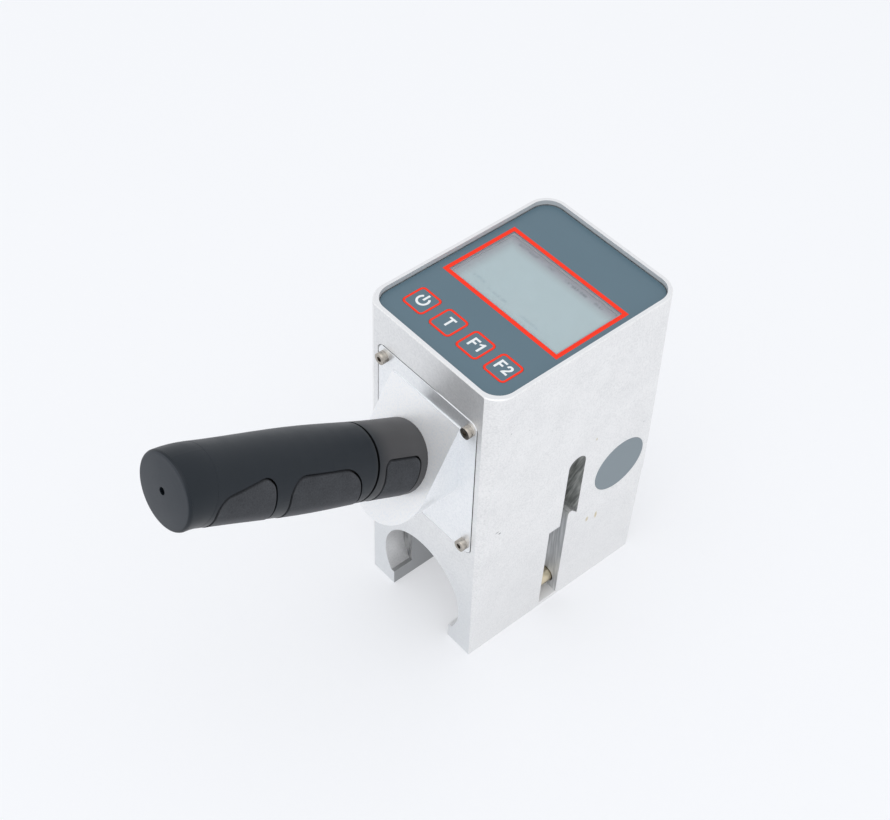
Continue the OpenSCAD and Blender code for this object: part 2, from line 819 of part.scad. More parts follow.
module cover_holes(from, to, r) {
    for (x = [-1, 1], z = [-1, 1])
        translate([x * cover_x, 0, plate_mid_z + z * cover_dz]) along_y(from, to) circle(r);
}

module handle_bracket() {
    boss_reach = boss_lip + boss_top_z * tan(handle_tilt);
    color([0.86, 0.87, 0.88])
        difference() {
            union() {
                translate([0, 0, plate_mid_z]) along_y(front_y, plate_back) round_rect(plate_w, plate_h, plate_r);
                difference() {
                    along_y(front_y - boss_reach, plate_back) tongue();
                    inclined_cut();
                }
            }
            translate([0, front_y, plate_mid_z])
                rotate([90, 0, 0]) edge_bevel(plate_w, plate_h, plate_r, plate_bevel);
            cover_holes(front_y - cut, plate_back + cut, cover_r + screw_gap);
            on_handle() {
                translate([0, 0, -socket_depth]) cylinder(h = socket_depth + cut, r = tube_r + bond_gap);
                translate([0, 0, -socket_depth - socket_web - cut])
                    cylinder(h = socket_web + 2 * cut, r = bolt_r + screw_gap);
                translate([0, 0, -socket_depth - socket_web - plate_h])
                    cylinder(h = plate_h, r = bolt_head_r + screw_gap);
            }
        }
}

module cover_gasket() {
    color([0.14, 0.14, 0.15])
        difference() {
            translate([0, 0, plate_mid_z]) along_y(plate_back, cover_floor) round_rect(plate_w, plate_h, plate_r);
            along_y(plate_back - cut, cover_floor + cut)
                translate([-bay_w / 2, bay_z]) square([bay_w, bay_h]);
            cover_holes(plate_back - cut, cover_floor + cut, cover_r + screw_gap);
        }
}

module cover_screws() {
    color([0.72, 0.71, 0.69])
        difference() {
            union() {
                cover_holes(front_y - cover_head_h, front_y, cover_head_r);
                cover_holes(front_y - cover_head_h / 4, cover_floor + cover_thread - cut, cover_r - thread_gap);
            }
            for (x = [-1, 1], z = [-1, 1])
                translate([x * cover_x, 0, plate_mid_z + z * cover_dz])
                    along_y(front_y - cover_head_h - cut, front_y - cover_head_h / 2)
                        circle(r = cover_head_r / 2, $fn = 6);
        }
}

// Handle and grip, in the frame of the handle

module handle_tube() {
    color([0.60, 0.62, 0.64])
        on_handle()
            translate([0, 0, -socket_depth])
                difference() {
                    cylinder(h = socket_depth + tube_end, r = tube_r);
                    translate([0, 0, -cut]) cylinder(h = socket_depth + tube_end + 2 * cut, r = tube_r - tube_wall);
                }
}

module handle_plug() {
    color([0.66, 0.67, 0.68])
        on_handle()
            translate([0, 0, -socket_depth])
                difference() {
                    cylinder(h = plug_l, r = tube_r - tube_wall - bond_gap);
                    translate([0, 0, -cut]) cylinder(h = plug_l + 2 * cut, r = bolt_r);
                }
}

module handle_bolt() {
    head = -socket_depth - socket_web;
    color([0.30, 0.31, 0.32])
        on_handle()
            difference() {
                union() {
                    translate([0, 0, head - bolt_head_h]) cylinder(h = bolt_head_h, r = bolt_head_r);
                    translate([0, 0, head - bolt_head_h / 4])
                        cylinder(h = bolt_head_h / 4 + socket_web + bolt_thread, r = bolt_r - thread_gap);
                }
                translate([0, 0, head - bolt_head_h - cut])
                    cylinder(h = bolt_head_h / 2 + cut, r = bolt_head_r / 2, $fn = 6);
            }
}

// Steps along the curved outline of the grip, and along each curve of its free end
grip_steps = 10;
end_steps = 6;

function grip_curve(from, to, lift) =
    [for (i = [0:grip_steps]) let (s = from + (to - from) * i / grip_steps) [grip_r(s) + lift, s]];

// Solid of revolution under the grip's surface, raised by lift
module grip_form(from, to, lift) {
    rotate_extrude() polygon([[0, from], each grip_curve(from, to, lift), [0, to]]);
}

// Bend at the free end
module grip_bend() {
    lap = asin(cut / bend_r);
    translate([0, -bend_r, bend_s])
        rotate([90, 0, 90])
            rotate([0, 0, -lap])
                rotate_extrude(angle = bend_tilt + lap) translate([bend_r, 0]) circle(grip_r_end - end_step);
}

// Frame at the far side of that bend
module on_bend() {
    translate([0, -bend_r, bend_s]) rotate([bend_tilt, 0, 0]) translate([0, bend_r, 0]) children();
}

// Rounded edge with the domed end face
module grip_end() {
    sweep = 90 - atan(2 * end_rise / (rim_r - end_r));
    rounding = [for (i = [0:end_steps]) let (a = sweep * i / end_steps)
        [rim_r - end_r + end_r * cos(a), end_r * sin(a)]];
    dome = [for (i = [1:end_steps - 1]) let (t = i / end_steps)
        [(1 - t) * (rim_r - end_r), end_r + end_rise * t * (2 - t)]];
    rotate_extrude() polygon([[0, -cut], [rim_r, -cut], each rounding, each dome, [0, end_r + end_rise]]);
}

// Block under a pad's outline, grown by part of the groove round it
module pad_block(outline, r, grow) {
    rotate([0, -90, 0])
        linear_extrude(4 * grip_r_swell, center = true)
            polygon(rounded(grown(outline, grow), [for (v = r) v + grow]));
}

// Recess for a pad in a sleeve that runs between two distances
module pad_recess(outline, r, from, to) {
    difference() {
        pad_block(outline, r, pad_groove / 2);
        grip_form(from, to, -pad_t);
    }
}

module soft_pad(outline, r, from, to) {
    intersection() {
        difference() {
            grip_form(from, to, pad_proud);
            grip_form(from - cut, to + cut, bond_gap - pad_t);
        }
        pad_block(outline, r, -pad_groove / 2);
    }
}

module grip_sleeve() {
    color([0.20, 0.21, 0.23])
        on_handle()
            difference() {
                union() {
                    grip_form(sleeve_start, bend_s, 0);
                    grip_bend();
                    on_bend() grip_end();
                }
                translate([0, 0, sleeve_start - cut])
                    cylinder(h = tube_end + bond_gap + cut - sleeve_start, r = grip_bore_r);
                translate([0, -vent_drop, tube_end]) cylinder(h = grip_l + end_r - tube_end, r = vent_r);
                pad_recess(middle_pad_outline, middle_pad_r, sleeve_start - cut, bend_s);
                pad_recess(outer_pad_outline, outer_pad_r, sleeve_start - cut, bend_s);
            }
}

module grip_collar() {
    color([0.20, 0.21, 0.23])
        on_handle()
            difference() {
                rotate_extrude()
                    polygon([[grip_bore_r, 0], each grip_curve(0, collar_l, 0), [ring_r, collar_l],
                        [ring_r, sleeve_start], [grip_bore_r, sleeve_start]]);
                pad_recess(collar_pad_outline, collar_pad_r, -cut, sleeve_start);
            }
}

module grip_outer_pad() {
    color([0.24, 0.23, 0.23])
        on_handle() soft_pad(outer_pad_outline, outer_pad_r, sleeve_start - cut, bend_s);
}

module grip_middle_pad() {
    color([0.24, 0.23, 0.23])
        on_handle() soft_pad(middle_pad_outline, middle_pad_r, sleeve_start - cut, bend_s);
}

module grip_collar_pad() {
    color([0.24, 0.23, 0.23])
        on_handle() soft_pad(collar_pad_outline, collar_pad_r, -cut, sleeve_start);
}

placed() load_block();
placed() keypad_overlay();
placed() power_key();
placed() tare_key();
placed() f1_key();
placed() f2_key();
placed() display_window();
placed() window_gasket();
placed() lcd_module();
placed() panel_plate();
placed() key_switches();
placed() main_board();
placed() board_standoffs();
placed() board_screws();
placed() battery_holder();
placed() battery_cells();
placed() handle_bracket();
placed() cover_gasket();
placed() cover_screws();
placed() handle_tube();
placed() handle_plug();
placed() handle_bolt();
placed() grip_sleeve();
placed() grip_collar();
placed() grip_outer_pad();
placed() grip_middle_pad();
placed() grip_collar_pad();
placed() gauge_caps();
placed() strain_gauges();
placed() stop_bolts();
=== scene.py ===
"""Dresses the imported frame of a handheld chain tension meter.

The frame supplies every rigid piece. This script gives each of them a finish, breaks the
edges of the cover screws, prints the panel, and sets up the floor, the light and the camera.
Lengths are metres; sizes are written in millimetres, times MM or through mm().
"""
import json
import logging
import math
from dataclasses import dataclass, field
from enum import Enum
from typing import Any, Optional, Union

import bmesh
import bpy
from mathutils import Matrix, Vector


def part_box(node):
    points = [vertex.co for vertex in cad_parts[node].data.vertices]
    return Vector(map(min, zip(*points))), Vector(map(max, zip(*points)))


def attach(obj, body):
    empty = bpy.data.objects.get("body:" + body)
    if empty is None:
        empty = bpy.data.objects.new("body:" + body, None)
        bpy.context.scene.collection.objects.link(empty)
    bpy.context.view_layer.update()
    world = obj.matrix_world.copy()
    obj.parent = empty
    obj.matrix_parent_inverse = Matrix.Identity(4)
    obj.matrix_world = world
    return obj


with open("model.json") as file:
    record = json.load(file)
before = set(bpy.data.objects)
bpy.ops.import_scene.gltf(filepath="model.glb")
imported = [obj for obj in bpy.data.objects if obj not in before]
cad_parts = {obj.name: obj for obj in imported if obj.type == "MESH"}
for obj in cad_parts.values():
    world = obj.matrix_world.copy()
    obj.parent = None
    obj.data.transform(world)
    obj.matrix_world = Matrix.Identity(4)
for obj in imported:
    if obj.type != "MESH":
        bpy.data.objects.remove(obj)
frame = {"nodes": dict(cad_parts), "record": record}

Socket = bpy.types.NodeSocket
Material = bpy.types.Material
Object = bpy.types.Object
Shape = bmesh.types.BMesh
Colour = tuple[float, float, float]
Triple = tuple[float, float, float]
Span = tuple[float, float]
Number = Union[float, "Value"]

MM = 0.001
# Mean of a noise pattern, and how strongly its finer layers count
MEAN = 0.5
NOISE_ROUGHNESS = 0.55
# How far a face looks along an axis: turned to it more or less, or square to it
TURNED: Span = (0.5, 0.9)
SQUARE: Span = (0.9, 0.98)
# Direction along which a print's corners, edges and faces are put in order, so that each run gives the same mesh
ORDER = Vector((1.0, 0.618, 0.236))
# Rays that see the floor and the surroundings in a mirror or through a film
INDIRECT_RAYS = ("Is Glossy Ray", "Is Transmission Ray")

log = logging.getLogger("tension_meter")


def mm(*lengths: float) -> tuple[float, ...]:
    """Turns millimetres into metres."""
    return tuple(length * MM for length in lengths)


class Body(Enum):
    """Bodies of the frame that a piece can ride on."""

    METER = "meter"
    POWER = "power_button"
    TARE = "tare_button"
    F1 = "f1_button"
    F2 = "f2_button"


class Slot(Enum):
    """Material slots of the record."""

    BLOCK = "machined_aluminium"
    BRACKET = "bracket_aluminium"
    PANEL = "panel_aluminium"
    OVERLAY = "overlay_film"
    KEY = "key_film"
    WINDOW = "window_film"
    DISPLAY = "display_glass"
    TAPE = "window_tape"
    GASKET = "gasket_rubber"
    BLACK_PLASTIC = "black_plastic"
    BOARD = "board_laminate"
    BRASS = "standoff_brass"
    STEEL = "steel"
    ZINC = "zinc_steel"
    CELL = "cell_jacket"
    GRIP = "grip_rubber"
    PAD = "pad_rubber"
    CAP = "cap_plastic"
    FOIL = "foil"


class Value:
    """A number socket of a material that takes part in Python expressions."""

    def __init__(self, board: "Board", socket: Socket) -> None:
        """Wraps a socket.

        Args:
            board: The material that the socket belongs to.
            socket: The output socket.
        """
        self.board = board
        self.socket = socket

    def _math(self, operation: str, first: Number, second: Number = 0.0) -> "Value":
        """Adds one Math node.

        Args:
            operation: The Math node's operation.
            first: The first operand.
            second: The second operand.

        Returns:
            The node's result.
        """
        node = self.board.node("ShaderNodeMath", {0: first, 1: second}, operation=operation)
        return Value(self.board, node.outputs[0])

    def __add__(self, other: Number) -> "Value":
        """Adds two values."""
        return self._math("ADD", self, other)

    def __sub__(self, other: Number) -> "Value":
        """Takes other off this value."""
        return self._math("SUBTRACT", self, other)

    def __rsub__(self, other: Number) -> "Value":
        """Takes this value off a number."""
        return self._math("SUBTRACT", other, self)

    def __mul__(self, other: Number) -> "Value":
        """Multiplies two values."""
        return self._math("MULTIPLY", self, other)

    def __truediv__(self, other: Number) -> "Value":
        """Divides this value by another."""
        return self._math("DIVIDE", self, other)

    def __abs__(self) -> "Value":
        """Gives the size of the value without its sign."""
        return self._math("ABSOLUTE", self)

    def power(self, exponent: float) -> "Value":
        """Raises the value to a power."""
        return self._math("POWER", self, exponent)

    def larger(self, other: Number) -> "Value":
        """Gives the larger of two values."""
        return self._math("MAXIMUM", self, other)

    def rise(self, low: float, high: float) -> "Value":
        """Makes a smooth step.

        Args:
            low: Where the step starts at 0.
            high: Where the step has reached 1; below low, the step falls.

        Returns:
            The step, from 0 to 1.
        """
        flip = high < low
        ends = {"From Min": min(low, high), "From Max": max(low, high),
                "To Min": 1.0 if flip else 0.0, "To Max": 0.0 if flip else 1.0}
        node = self.board.node("ShaderNodeMapRange", {"Value": self, **ends}, interpolation_type="SMOOTHSTEP")
        return Value(self.board, node.outputs["Result"])

    def band(self, low: float, high: float, soft: float) -> "Value":
        """Makes a soft-edged band that is 1 between low and high.

        Args:
            low: Lower end of the band.
            high: Upper end of the band.
            soft: Half width of each edge.

        Returns:
            The band, from 0 to 1.
        """
        return self.rise(low - soft, low + soft) * self.rise(high + soft, high - soft)


class Board:
    """The node tree of a material, read in the piece's own coordinates, or of the world."""

    def __init__(self, name: str, owners: Any = None) -> None:
        """Starts an empty material or world.

        Args:
            name: Its name.
            owners: Blender's list that it goes into; the materials, if none is given.
        """
        self.owner = (bpy.data.materials if owners is None else owners).new(name)
        self.owner.use_nodes = True
        self.tree = self.owner.node_tree
        self.tree.nodes.clear()
        self.place = self.node("ShaderNodeTexCoord").outputs["Object"]
        self.x, self.y, self.z = self.split(self.place)

    def node(self, kind: str, sockets: Optional[dict[Union[str, int], Any]] = None, **settings: Any) -> bpy.types.Node:
        """Adds a node.

        Args:
            kind: The node's type.
            sockets: Values or links of the node's inputs.
            settings: Properties that are set before the inputs.

        Returns:
            The node.
        """
        node = self.tree.nodes.new(kind)
        for key, value in settings.items():
            setattr(node, key, value)
        for key, value in (sockets or {}).items():
            target = node.inputs[key]
            if isinstance(value, Value):
                self.tree.links.new(value.socket, target)
            elif isinstance(value, Socket):
                self.tree.links.new(value, target)
            elif isinstance(value, tuple) and target.type == "RGBA":
                target.default_value = (*value, 1.0)
            else:
                target.default_value = value
        return node

    def split(self, vector: Socket) -> tuple[Value, Value, Value]:
        """Splits a vector into its three parts."""
        parts = self.node("ShaderNodeSeparateXYZ", {"Vector": vector})
        return tuple(Value(self, parts.outputs[axis]) for axis in "XYZ")

    def normal(self) -> tuple[Value, Value, Value]:
        """Gives the parts of the surface's normal."""
        return self.split(self.node("ShaderNodeNewGeometry").outputs["Normal"])

    def facing(self) -> tuple[Value, Value, Value]:
        """Gives how far the surface faces along each axis, without signs."""
        x, y, z = self.normal()
        return abs(x), abs(y), abs(z)

    def seen(self) -> Value:
        """Gives 1 for what the camera sees, straight, mirrored or through a film."""
        path = self.node("ShaderNodeLightPath")
        seen = Value(self, path.outputs["Is Camera Ray"])
        for ray in INDIRECT_RAYS:
            seen = seen.larger(Value(self, path.outputs[ray]))
        return seen

    def mapped(self, stretch: Triple, turn: Triple) -> Socket:
        """Scales and turns the piece's coordinates for a pattern.

        Args:
            stretch: Factors along the pattern's axes.
            turn: Angles of the pattern about the axes, in degrees.

        Returns:
            The mapped coordinates.
        """
        turned = tuple(math.radians(angle) for angle in turn)
        widths = tuple(1.0 / factor for factor in stretch)
        node = self.node("ShaderNodeMapping", {"Vector": self.place, "Scale": widths, "Rotation": turned},
                         vector_type="TEXTURE")
        return node.outputs["Vector"]

    def noise(self, size: float, detail: float = 2.0, stretch: Triple = (1.0, 1.0, 1.0),
              turn: Triple = (0.0, 0.0, 0.0)) -> Value:
        """Adds a noise pattern.

        Args:
            size: Size of its features, in metres.
            detail: Number of finer layers.
            stretch: Factors on the coordinates; a small one makes streaks along that axis.
            turn: Angles about the axes, in degrees.

        Returns:
            The pattern, around MEAN.
        """
        node = self.node("ShaderNodeTexNoise", {
            "Vector": self.mapped(stretch, turn), "Scale": 1.0 / size, "Detail": detail,
            "Roughness": NOISE_ROUGHNESS})
        return Value(self, node.outputs["Fac"])

    def pits(self, spacing: float, radius: float, share: float, floor: float = 0.5, soft: float = 0.01) -> Value:
        """Scatters small round pits.

        Args:
            spacing: Mean distance between the places where a pit can be.
            radius: Radius of a pit.
            share: Share of the places that have one.
            floor: Radius of a pit's floor, as a share of the pit's own.
            soft: Half width of the step that picks the places.

        Returns:
            A mask that is 1 in the pits.
        """
        node = self.node("ShaderNodeTexVoronoi", {"Vector": self.place, "Scale": 1.0 / spacing})
        reach = Value(self, node.outputs["Distance"])
        pick = self.split(node.outputs["Color"])[0]
        limit = radius / spacing
        return reach.rise(limit, limit * floor) * pick.rise(1.0 - share - soft, 1.0 - share + soft)

    def spot(self, centre: Triple, radii: Triple, core: float = 0.1) -> Value:
        """Makes one soft spot.

        Args:
            centre: Its middle.
            radii: Its half sizes along the axes.
            core: Square of the share of the half sizes up to which it is full.

        Returns:
            A mask that falls from 1 in the middle to 0 at the rim.
        """
        parts = [((axis - middle) / radius).power(2.0)
                 for axis, middle, radius in zip((self.x, self.y, self.z), centre, radii)]
        return (parts[0] + parts[1] + parts[2]).rise(1.0, core)

    def mix(self, factor: Number, first: Any, second: Any) -> Socket:
        """Mixes two colours.

        Args:
            factor: Share of the second colour.
            first: A colour or a colour socket.
            second: A colour or a colour socket.

        Returns:
            The mixed colour.
        """
        node = self.node("ShaderNodeMix", {0: factor, 6: first, 7: second}, data_type="RGBA")
        return node.outputs[2]

    def bump(self, height: Value, depth: float, strength: float) -> Socket:
        """Turns a height into a normal.

        Args:
            height: The height pattern, from 0 to 1.
            depth: What 1 stands for, in metres.
            strength: How far the bump counts.

        Returns:
            The normal.
        """
        node = self.node("ShaderNodeBump", {"Height": height, "Distance": depth, "Strength": strength})
        return node.outputs["Normal"]

    def finish(self, **sockets: Any) -> Material:
        """Closes the material with a Principled shader.

        Args:
            sockets: The shader's inputs; an underscore stands for a space.

        Returns:
            The material.
        """
        named = {key.replace("_", " "): value for key, value in sockets.items()}
        shader = self.node("ShaderNodeBsdfPrincipled", named)
        self.node("ShaderNodeOutputMaterial", {"Surface": shader.outputs["BSDF"]})
        return self.owner


@dataclass
class Look:
    """What varies over a milled surface while its finish is put together."""

    board: Board
    colour: Any
    metallic: Number
    rough: Number
    height: Value

    def wash(self, mask: Value, colour: Any, metallic: float) -> None:
        """Lays another tone over part of the surface.

        Args:
            mask: Where the tone lies, from 0 to 1.
            colour: The tone.
            metallic: How much the tone mirrors.
        """
        self.colour = self.board.mix(mask, self.colour, colour)
        self.metallic = mask * (metallic - self.metallic) + self.metallic


@dataclass(frozen=True)
class Pattern:
    """Two tones that a noise pattern shares out."""

    size: float
    edges: Span
    first: Colour
    second: Colour
    stretch: Triple = (1.0, 1.0, 1.0)
    turn: Triple = (0.0, 0.0, 0.0)
    detail: float = 2.0

    def tone(self, board: Board) -> Socket:
        """Adds the pattern to a material.

        Args:
            board: The material.

        Returns:
            The colour.
        """
        noise = board.noise(self.size, self.detail, self.stretch, self.turn)
        return board.mix(noise.rise(*self.edges), self.first, self.second)


@dataclass(frozen=True)
class Stain:
    """One stain of the block's right side."""

    depth: float
    height: float
    half_depth: float
    half_height: float
    tone: Colour
    share: float


@dataclass(frozen=True)
class MilledAluminium:
    """Aluminium cut from the solid, with fine tool grain, speckle and clouds."""

    name: str
    bright: Colour = (0.945, 0.94, 0.935)
    dull: Colour = (0.765, 0.765, 0.765)
    metallic: float = 0.66
    rough: float = 0.42
    level: float = 0.62
    grain_size: float = 0.9 * MM
    grain_stretch: Triple = (1.0, 1.0, 0.35)
    grain_share: float = 0.5
    speck_size: float = 0.8 * MM
    speck_share: float = 1.2
    cloud_size: float = 14.0 * MM
    cloud_share: float = 0.6
    rough_cloud: float = 0.16
    rough_grain: float = 0.12
    bump: Span = (0.10 * MM, 0.8)

    def mark(self, look: Look) -> None:
        """Adds the marks of one piece; plain aluminium has none.

        Args:
            look: The look that takes the marks.
        """

    def build(self) -> Material:
        """Makes the material."""
        board = Board(self.name)
        grain = board.noise(self.grain_size, 3.0, self.grain_stretch)
        speck = board.noise(self.speck_size)
        cloud = board.noise(self.cloud_size, 3.0)
        shade = ((grain - MEAN) * self.grain_share + (speck - MEAN) * self.speck_share
                 + (cloud - MEAN) * self.cloud_share + self.level)
        rough = (cloud - MEAN) * self.rough_cloud + (grain - MEAN) * self.rough_grain + self.rough
        colour = board.mix(shade.rise(0.0, 1.0), self.dull, self.bright)
        look = Look(board, colour, self.metallic, rough, grain * 0.5 + speck * 0.5)
        self.mark(look)
        normal = board.bump(look.height, *self.bump)
        return board.finish(Base_Color=look.colour, Metallic=look.metallic, Roughness=look.rough, Normal=normal)


@dataclass(frozen=True)
class BlockAluminium(MilledAluminium):
    """The load block's aluminium, with pits, stains, tool-marked hollows, and painted light and shade.

    Depths are measured from the front face and heights from the floor. A span holds the
    two ends of a smooth step, from where it is 0 to where it is 1, and a triple the two ends
    of a band and the half width of its edges.
    """

    pit_spacing: float = 4.5 * MM
    pit_r: float = 0.42 * MM
    pit_share: float = 0.16
    pit_patch: float = 30.0 * MM
    pit_edges: Span = (0.5, 0.62)
    pit_tone: Colour = (0.22, 0.22, 0.22)
    pit_wash: float = 0.75
    pit_depth: float = 2.0
    stain_x: float = 38.0 * MM
    stain_reach: float = 4.0 * MM
    stains: tuple[Stain, ...] = (
        Stain(*mm(68.6, 47.2, 1.3, 2.5), (0.62, 0.50, 0.24), 0.7),
        Stain(*mm(74.4, 45.9, 1.1, 3.4), (0.60, 0.47, 0.20), 0.8),
        Stain(*mm(65.5, 106.5, 0.7, 1.1), (0.60, 0.52, 0.32), 0.6),
        Stain(*mm(11.0, 83.6, 0.9, 0.6), (0.16, 0.16, 0.17), 0.8),
        Stain(*mm(9.4, 85.4, 1.6, 0.5), (0.30, 0.30, 0.31), 0.6),
        Stain(*mm(96.4, 96.2, 0.4, 0.5), (0.25, 0.24, 0.23), 0.7),
    )

    slot_depth: Triple = mm(43.0, 61.0, 0.3)
    slot_top: Span = mm(103.0, 101.0)
    slot_upper: Span = mm(54.0, 64.0)
    dull_metallic: float = 0.3
    # The slot's tool marks; their dark tones are also painted shade in the deep slot, darkest in its upper part.
    arcs: Pattern = Pattern(1.3 * MM, (0.35, 0.65), (0.26, 0.27, 0.26), (0.66, 0.67, 0.65),
                            (1.0, 1.0, 0.08), (0.0, 20.0, 0.0))
    streaks: Pattern = Pattern(1.2 * MM, (0.3, 0.7), (0.52, 0.53, 0.54), (0.84, 0.85, 0.86), (1.0, 1.0, 0.06))
    # Painted light: the slot's web floor is painted pale where it would lie in shade.
    web_top: Span = mm(5.0, 3.5)
    painted_light_pale: Colour = (0.97, 0.97, 0.97)
    painted_light_metallic: float = 0.1

    seat_depth: Triple = mm(10.7, 11.3, 0.1)
    seat_top: Span = mm(50.0, 49.0)
    seat_metallic: float = 0.25
    # The seat's swirl marks; their dark tones are also painted shade under the arch.
    swirls: Pattern = Pattern(3.0 * MM, (0.32, 0.66), (0.08, 0.085, 0.09), (0.38, 0.38, 0.38),
                              (1.0, 1.0, 0.25), detail=4.0)
    # Painted light and shade: the ledge is painted pale on the right and dark on the left.
    ledge_depth: Span = mm(11.3, 11.1)
    ledge_height: Triple = mm(8.2, 8.8, 0.1)
    ledge_painted_light: Colour = (0.95, 0.955, 0.96)
    ledge_painted_shade: Colour = (0.34, 0.345, 0.35)
    middle: Span = mm(-1.0, 1.0)
    # Painted shade on the channel's walls under the arch.
    wall_x: Triple = mm(19.2, 20.0, 0.2)
    wall_top: Span = mm(32.0, 30.0)
    wall_shade_wash: float = 0.85
    wall_shade_tone: Colour = (0.34, 0.35, 0.36)
    wall_metallic: float = 0.55

    # Painted shade: the front face is darker than the sides, and the front and the sides darken towards the floor.
    front_depth: Span = mm(0.6, 0.3)
    front_tone: Colour = (0.72, 0.745, 0.765)
    front_shade_wash: float = 0.25
    front_shade_low: Span = mm(70.0, 20.0)
    front_shade_low_wash: float = 0.42
    side_shade_tone: Colour = (0.79, 0.79, 0.79)
    side_shade_low: Span = mm(85.0, 5.0)
    side_shade_low_wash: float = 0.35
    pocket_x: float = 30.05 * MM
    pocket_y: float = 41.5 * MM
    pocket_corner: Span = mm(9.4, 9.25)
    pocket_below: Span = mm(2.8, 2.7)
    pocket_tone: Colour = (0.72, 0.73, 0.74)
    pocket_metallic: float = 0.2
    # Painted shade: a dark line at the foot of the pocket's walls, where they meet the overlay.
    foot_below: Span = mm(2.0, 2.6)
    foot_shade_tone: Colour = (0.16, 0.17, 0.18)
    # Painted light: the walls of the recess round the plate are painted pale.
    recess_depth: Triple = mm(0.02, 4.8, 0.02)
    recess_height: Triple = mm(69.0, 155.0, 0.5)
    recess_x: Span = mm(32.0, 31.8)
    rim_below: Span = mm(0.2, 0.1)
    rim_tone: Colour = (0.79, 0.795, 0.805)
    rim_wash: float = 0.9

    def stain(self, look: Look, front: float) -> None:
        """Adds the pits and the few stains of the right side.

        Args:
            look: The look that takes them.
            front: Where the front face is.
        """
        board = look.board
        patches = board.noise(self.pit_patch, 1.0).rise(*self.pit_edges)
        pits = board.pits(self.pit_spacing, self.pit_r, self.pit_share) * patches
        look.colour = board.mix(pits * self.pit_wash, look.colour, self.pit_tone)
        look.height = look.height - pits * self.pit_depth
        for stain in self.stains:
            spot = board.spot((self.stain_x, front + stain.depth, stain.height),
                              (self.stain_reach, stain.half_depth, stain.half_height))
            look.colour = board.mix(spot * stain.share, look.colour, stain.tone)

    def hollow(self, look: Look, depth: Value) -> None:
        """Paints tool marks with painted shade on the walls of the slot and the seat, painted light on the web floor
        and the ledge's right side, and painted shade on its left side and the channel's walls.

        Args:
            look: The look that takes the tones.
            depth: Distance from the front face.
        """
        board = look.board
        face_x, face_y, face_z = board.facing()
        upright = face_y.rise(0.4, 0.8)
        level = face_z.rise(0.6, 0.9)
        slot = depth.band(*self.slot_depth) * board.z.rise(*self.slot_top)
        upper = board.z.rise(*self.slot_upper)
        # Tool marks with painted shade on the slot's walls
        look.wash(slot * upright * upper, self.arcs.tone(board), self.dull_metallic)
        look.wash(slot * upright * (1.0 - upper), self.streaks.tone(board), self.dull_metallic)
        # Painted light on the slot's web floor
        look.wash(slot * level * board.z.rise(*self.web_top), self.painted_light_pale, self.painted_light_metallic)
        # Swirl marks with painted shade on the seat's wall
        seat = depth.band(*self.seat_depth) * board.z.rise(*self.seat_top)
        look.wash(seat * upright, self.swirls.tone(board), self.seat_metallic)
        # Painted light on the ledge's right side, painted shade on its left side
        ledge = depth.rise(*self.ledge_depth) * board.z.band(*self.ledge_height) * level
        right = board.x.rise(*self.middle)
        look.wash(ledge * right, self.ledge_painted_light, self.painted_light_metallic)
        look.wash(ledge * (1.0 - right), self.ledge_painted_shade, self.dull_metallic)
        # Painted shade on the channel's walls
        walls = abs(board.x).band(*self.wall_x) * board.z.rise(*self.wall_top)
        look.wash(walls * face_x.rise(*TURNED) * self.wall_shade_wash, self.wall_shade_tone, self.wall_metallic)

    def mark(self, look: Look) -> None:
        """Adds the stains, the hollows, the pocket's tone with painted shade at its foot, painted shade on the front
        and the sides towards the floor, painted light on the recess walls, and the rim's tone; see MilledAluminium.
        """
        board = look.board
        low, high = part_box("load_block")
        depth = board.y - low.y
        below = high.z - board.z
        face_x, face_y, face_z = board.facing()
        # Painted shade on the front face, deeper towards the floor, then on the sides towards the floor
        front = face_y.rise(*SQUARE) * depth.rise(*self.front_depth)
        share = board.z.rise(*self.front_shade_low) * self.front_shade_low_wash + self.front_shade_wash
        look.wash(front * share, self.front_tone, self.metallic)
        share = board.z.rise(*self.side_shade_low) * self.side_shade_low_wash
        look.wash(face_x.rise(*SQUARE) * share, self.side_shade_tone, self.metallic)
        self.stain(look, low.y)
        self.hollow(look, depth)
        across = (abs(board.x) - self.pocket_x).larger(0.0)
        along = (abs(depth - (high.y - low.y) / 2) - self.pocket_y).larger(0.0)
        corner = (across.power(2.0) + along.power(2.0)).power(0.5)
        pocket = corner.rise(*self.pocket_corner) * below.rise(*self.pocket_below) * face_z.rise(0.6, 0.4)
        # Painted shade at the pocket walls' foot
        tone = board.mix(below.rise(*self.foot_below), self.pocket_tone, self.foot_shade_tone)
        look.wash(pocket, tone, self.pocket_metallic)
        # Painted light on the recess walls round the plate
        recess = depth.band(*self.recess_depth) * board.z.band(*self.recess_height)
        recess = recess * abs(board.x).rise(*self.recess_x) * (face_x + face_z).rise(*TURNED)
        look.wash(recess, self.painted_light_pale, 0.0)
        rim = below.rise(*self.rim_below) * face_z.rise(*SQUARE)
        look.wash(rim * self.rim_wash, self.rim_tone, self.metallic)


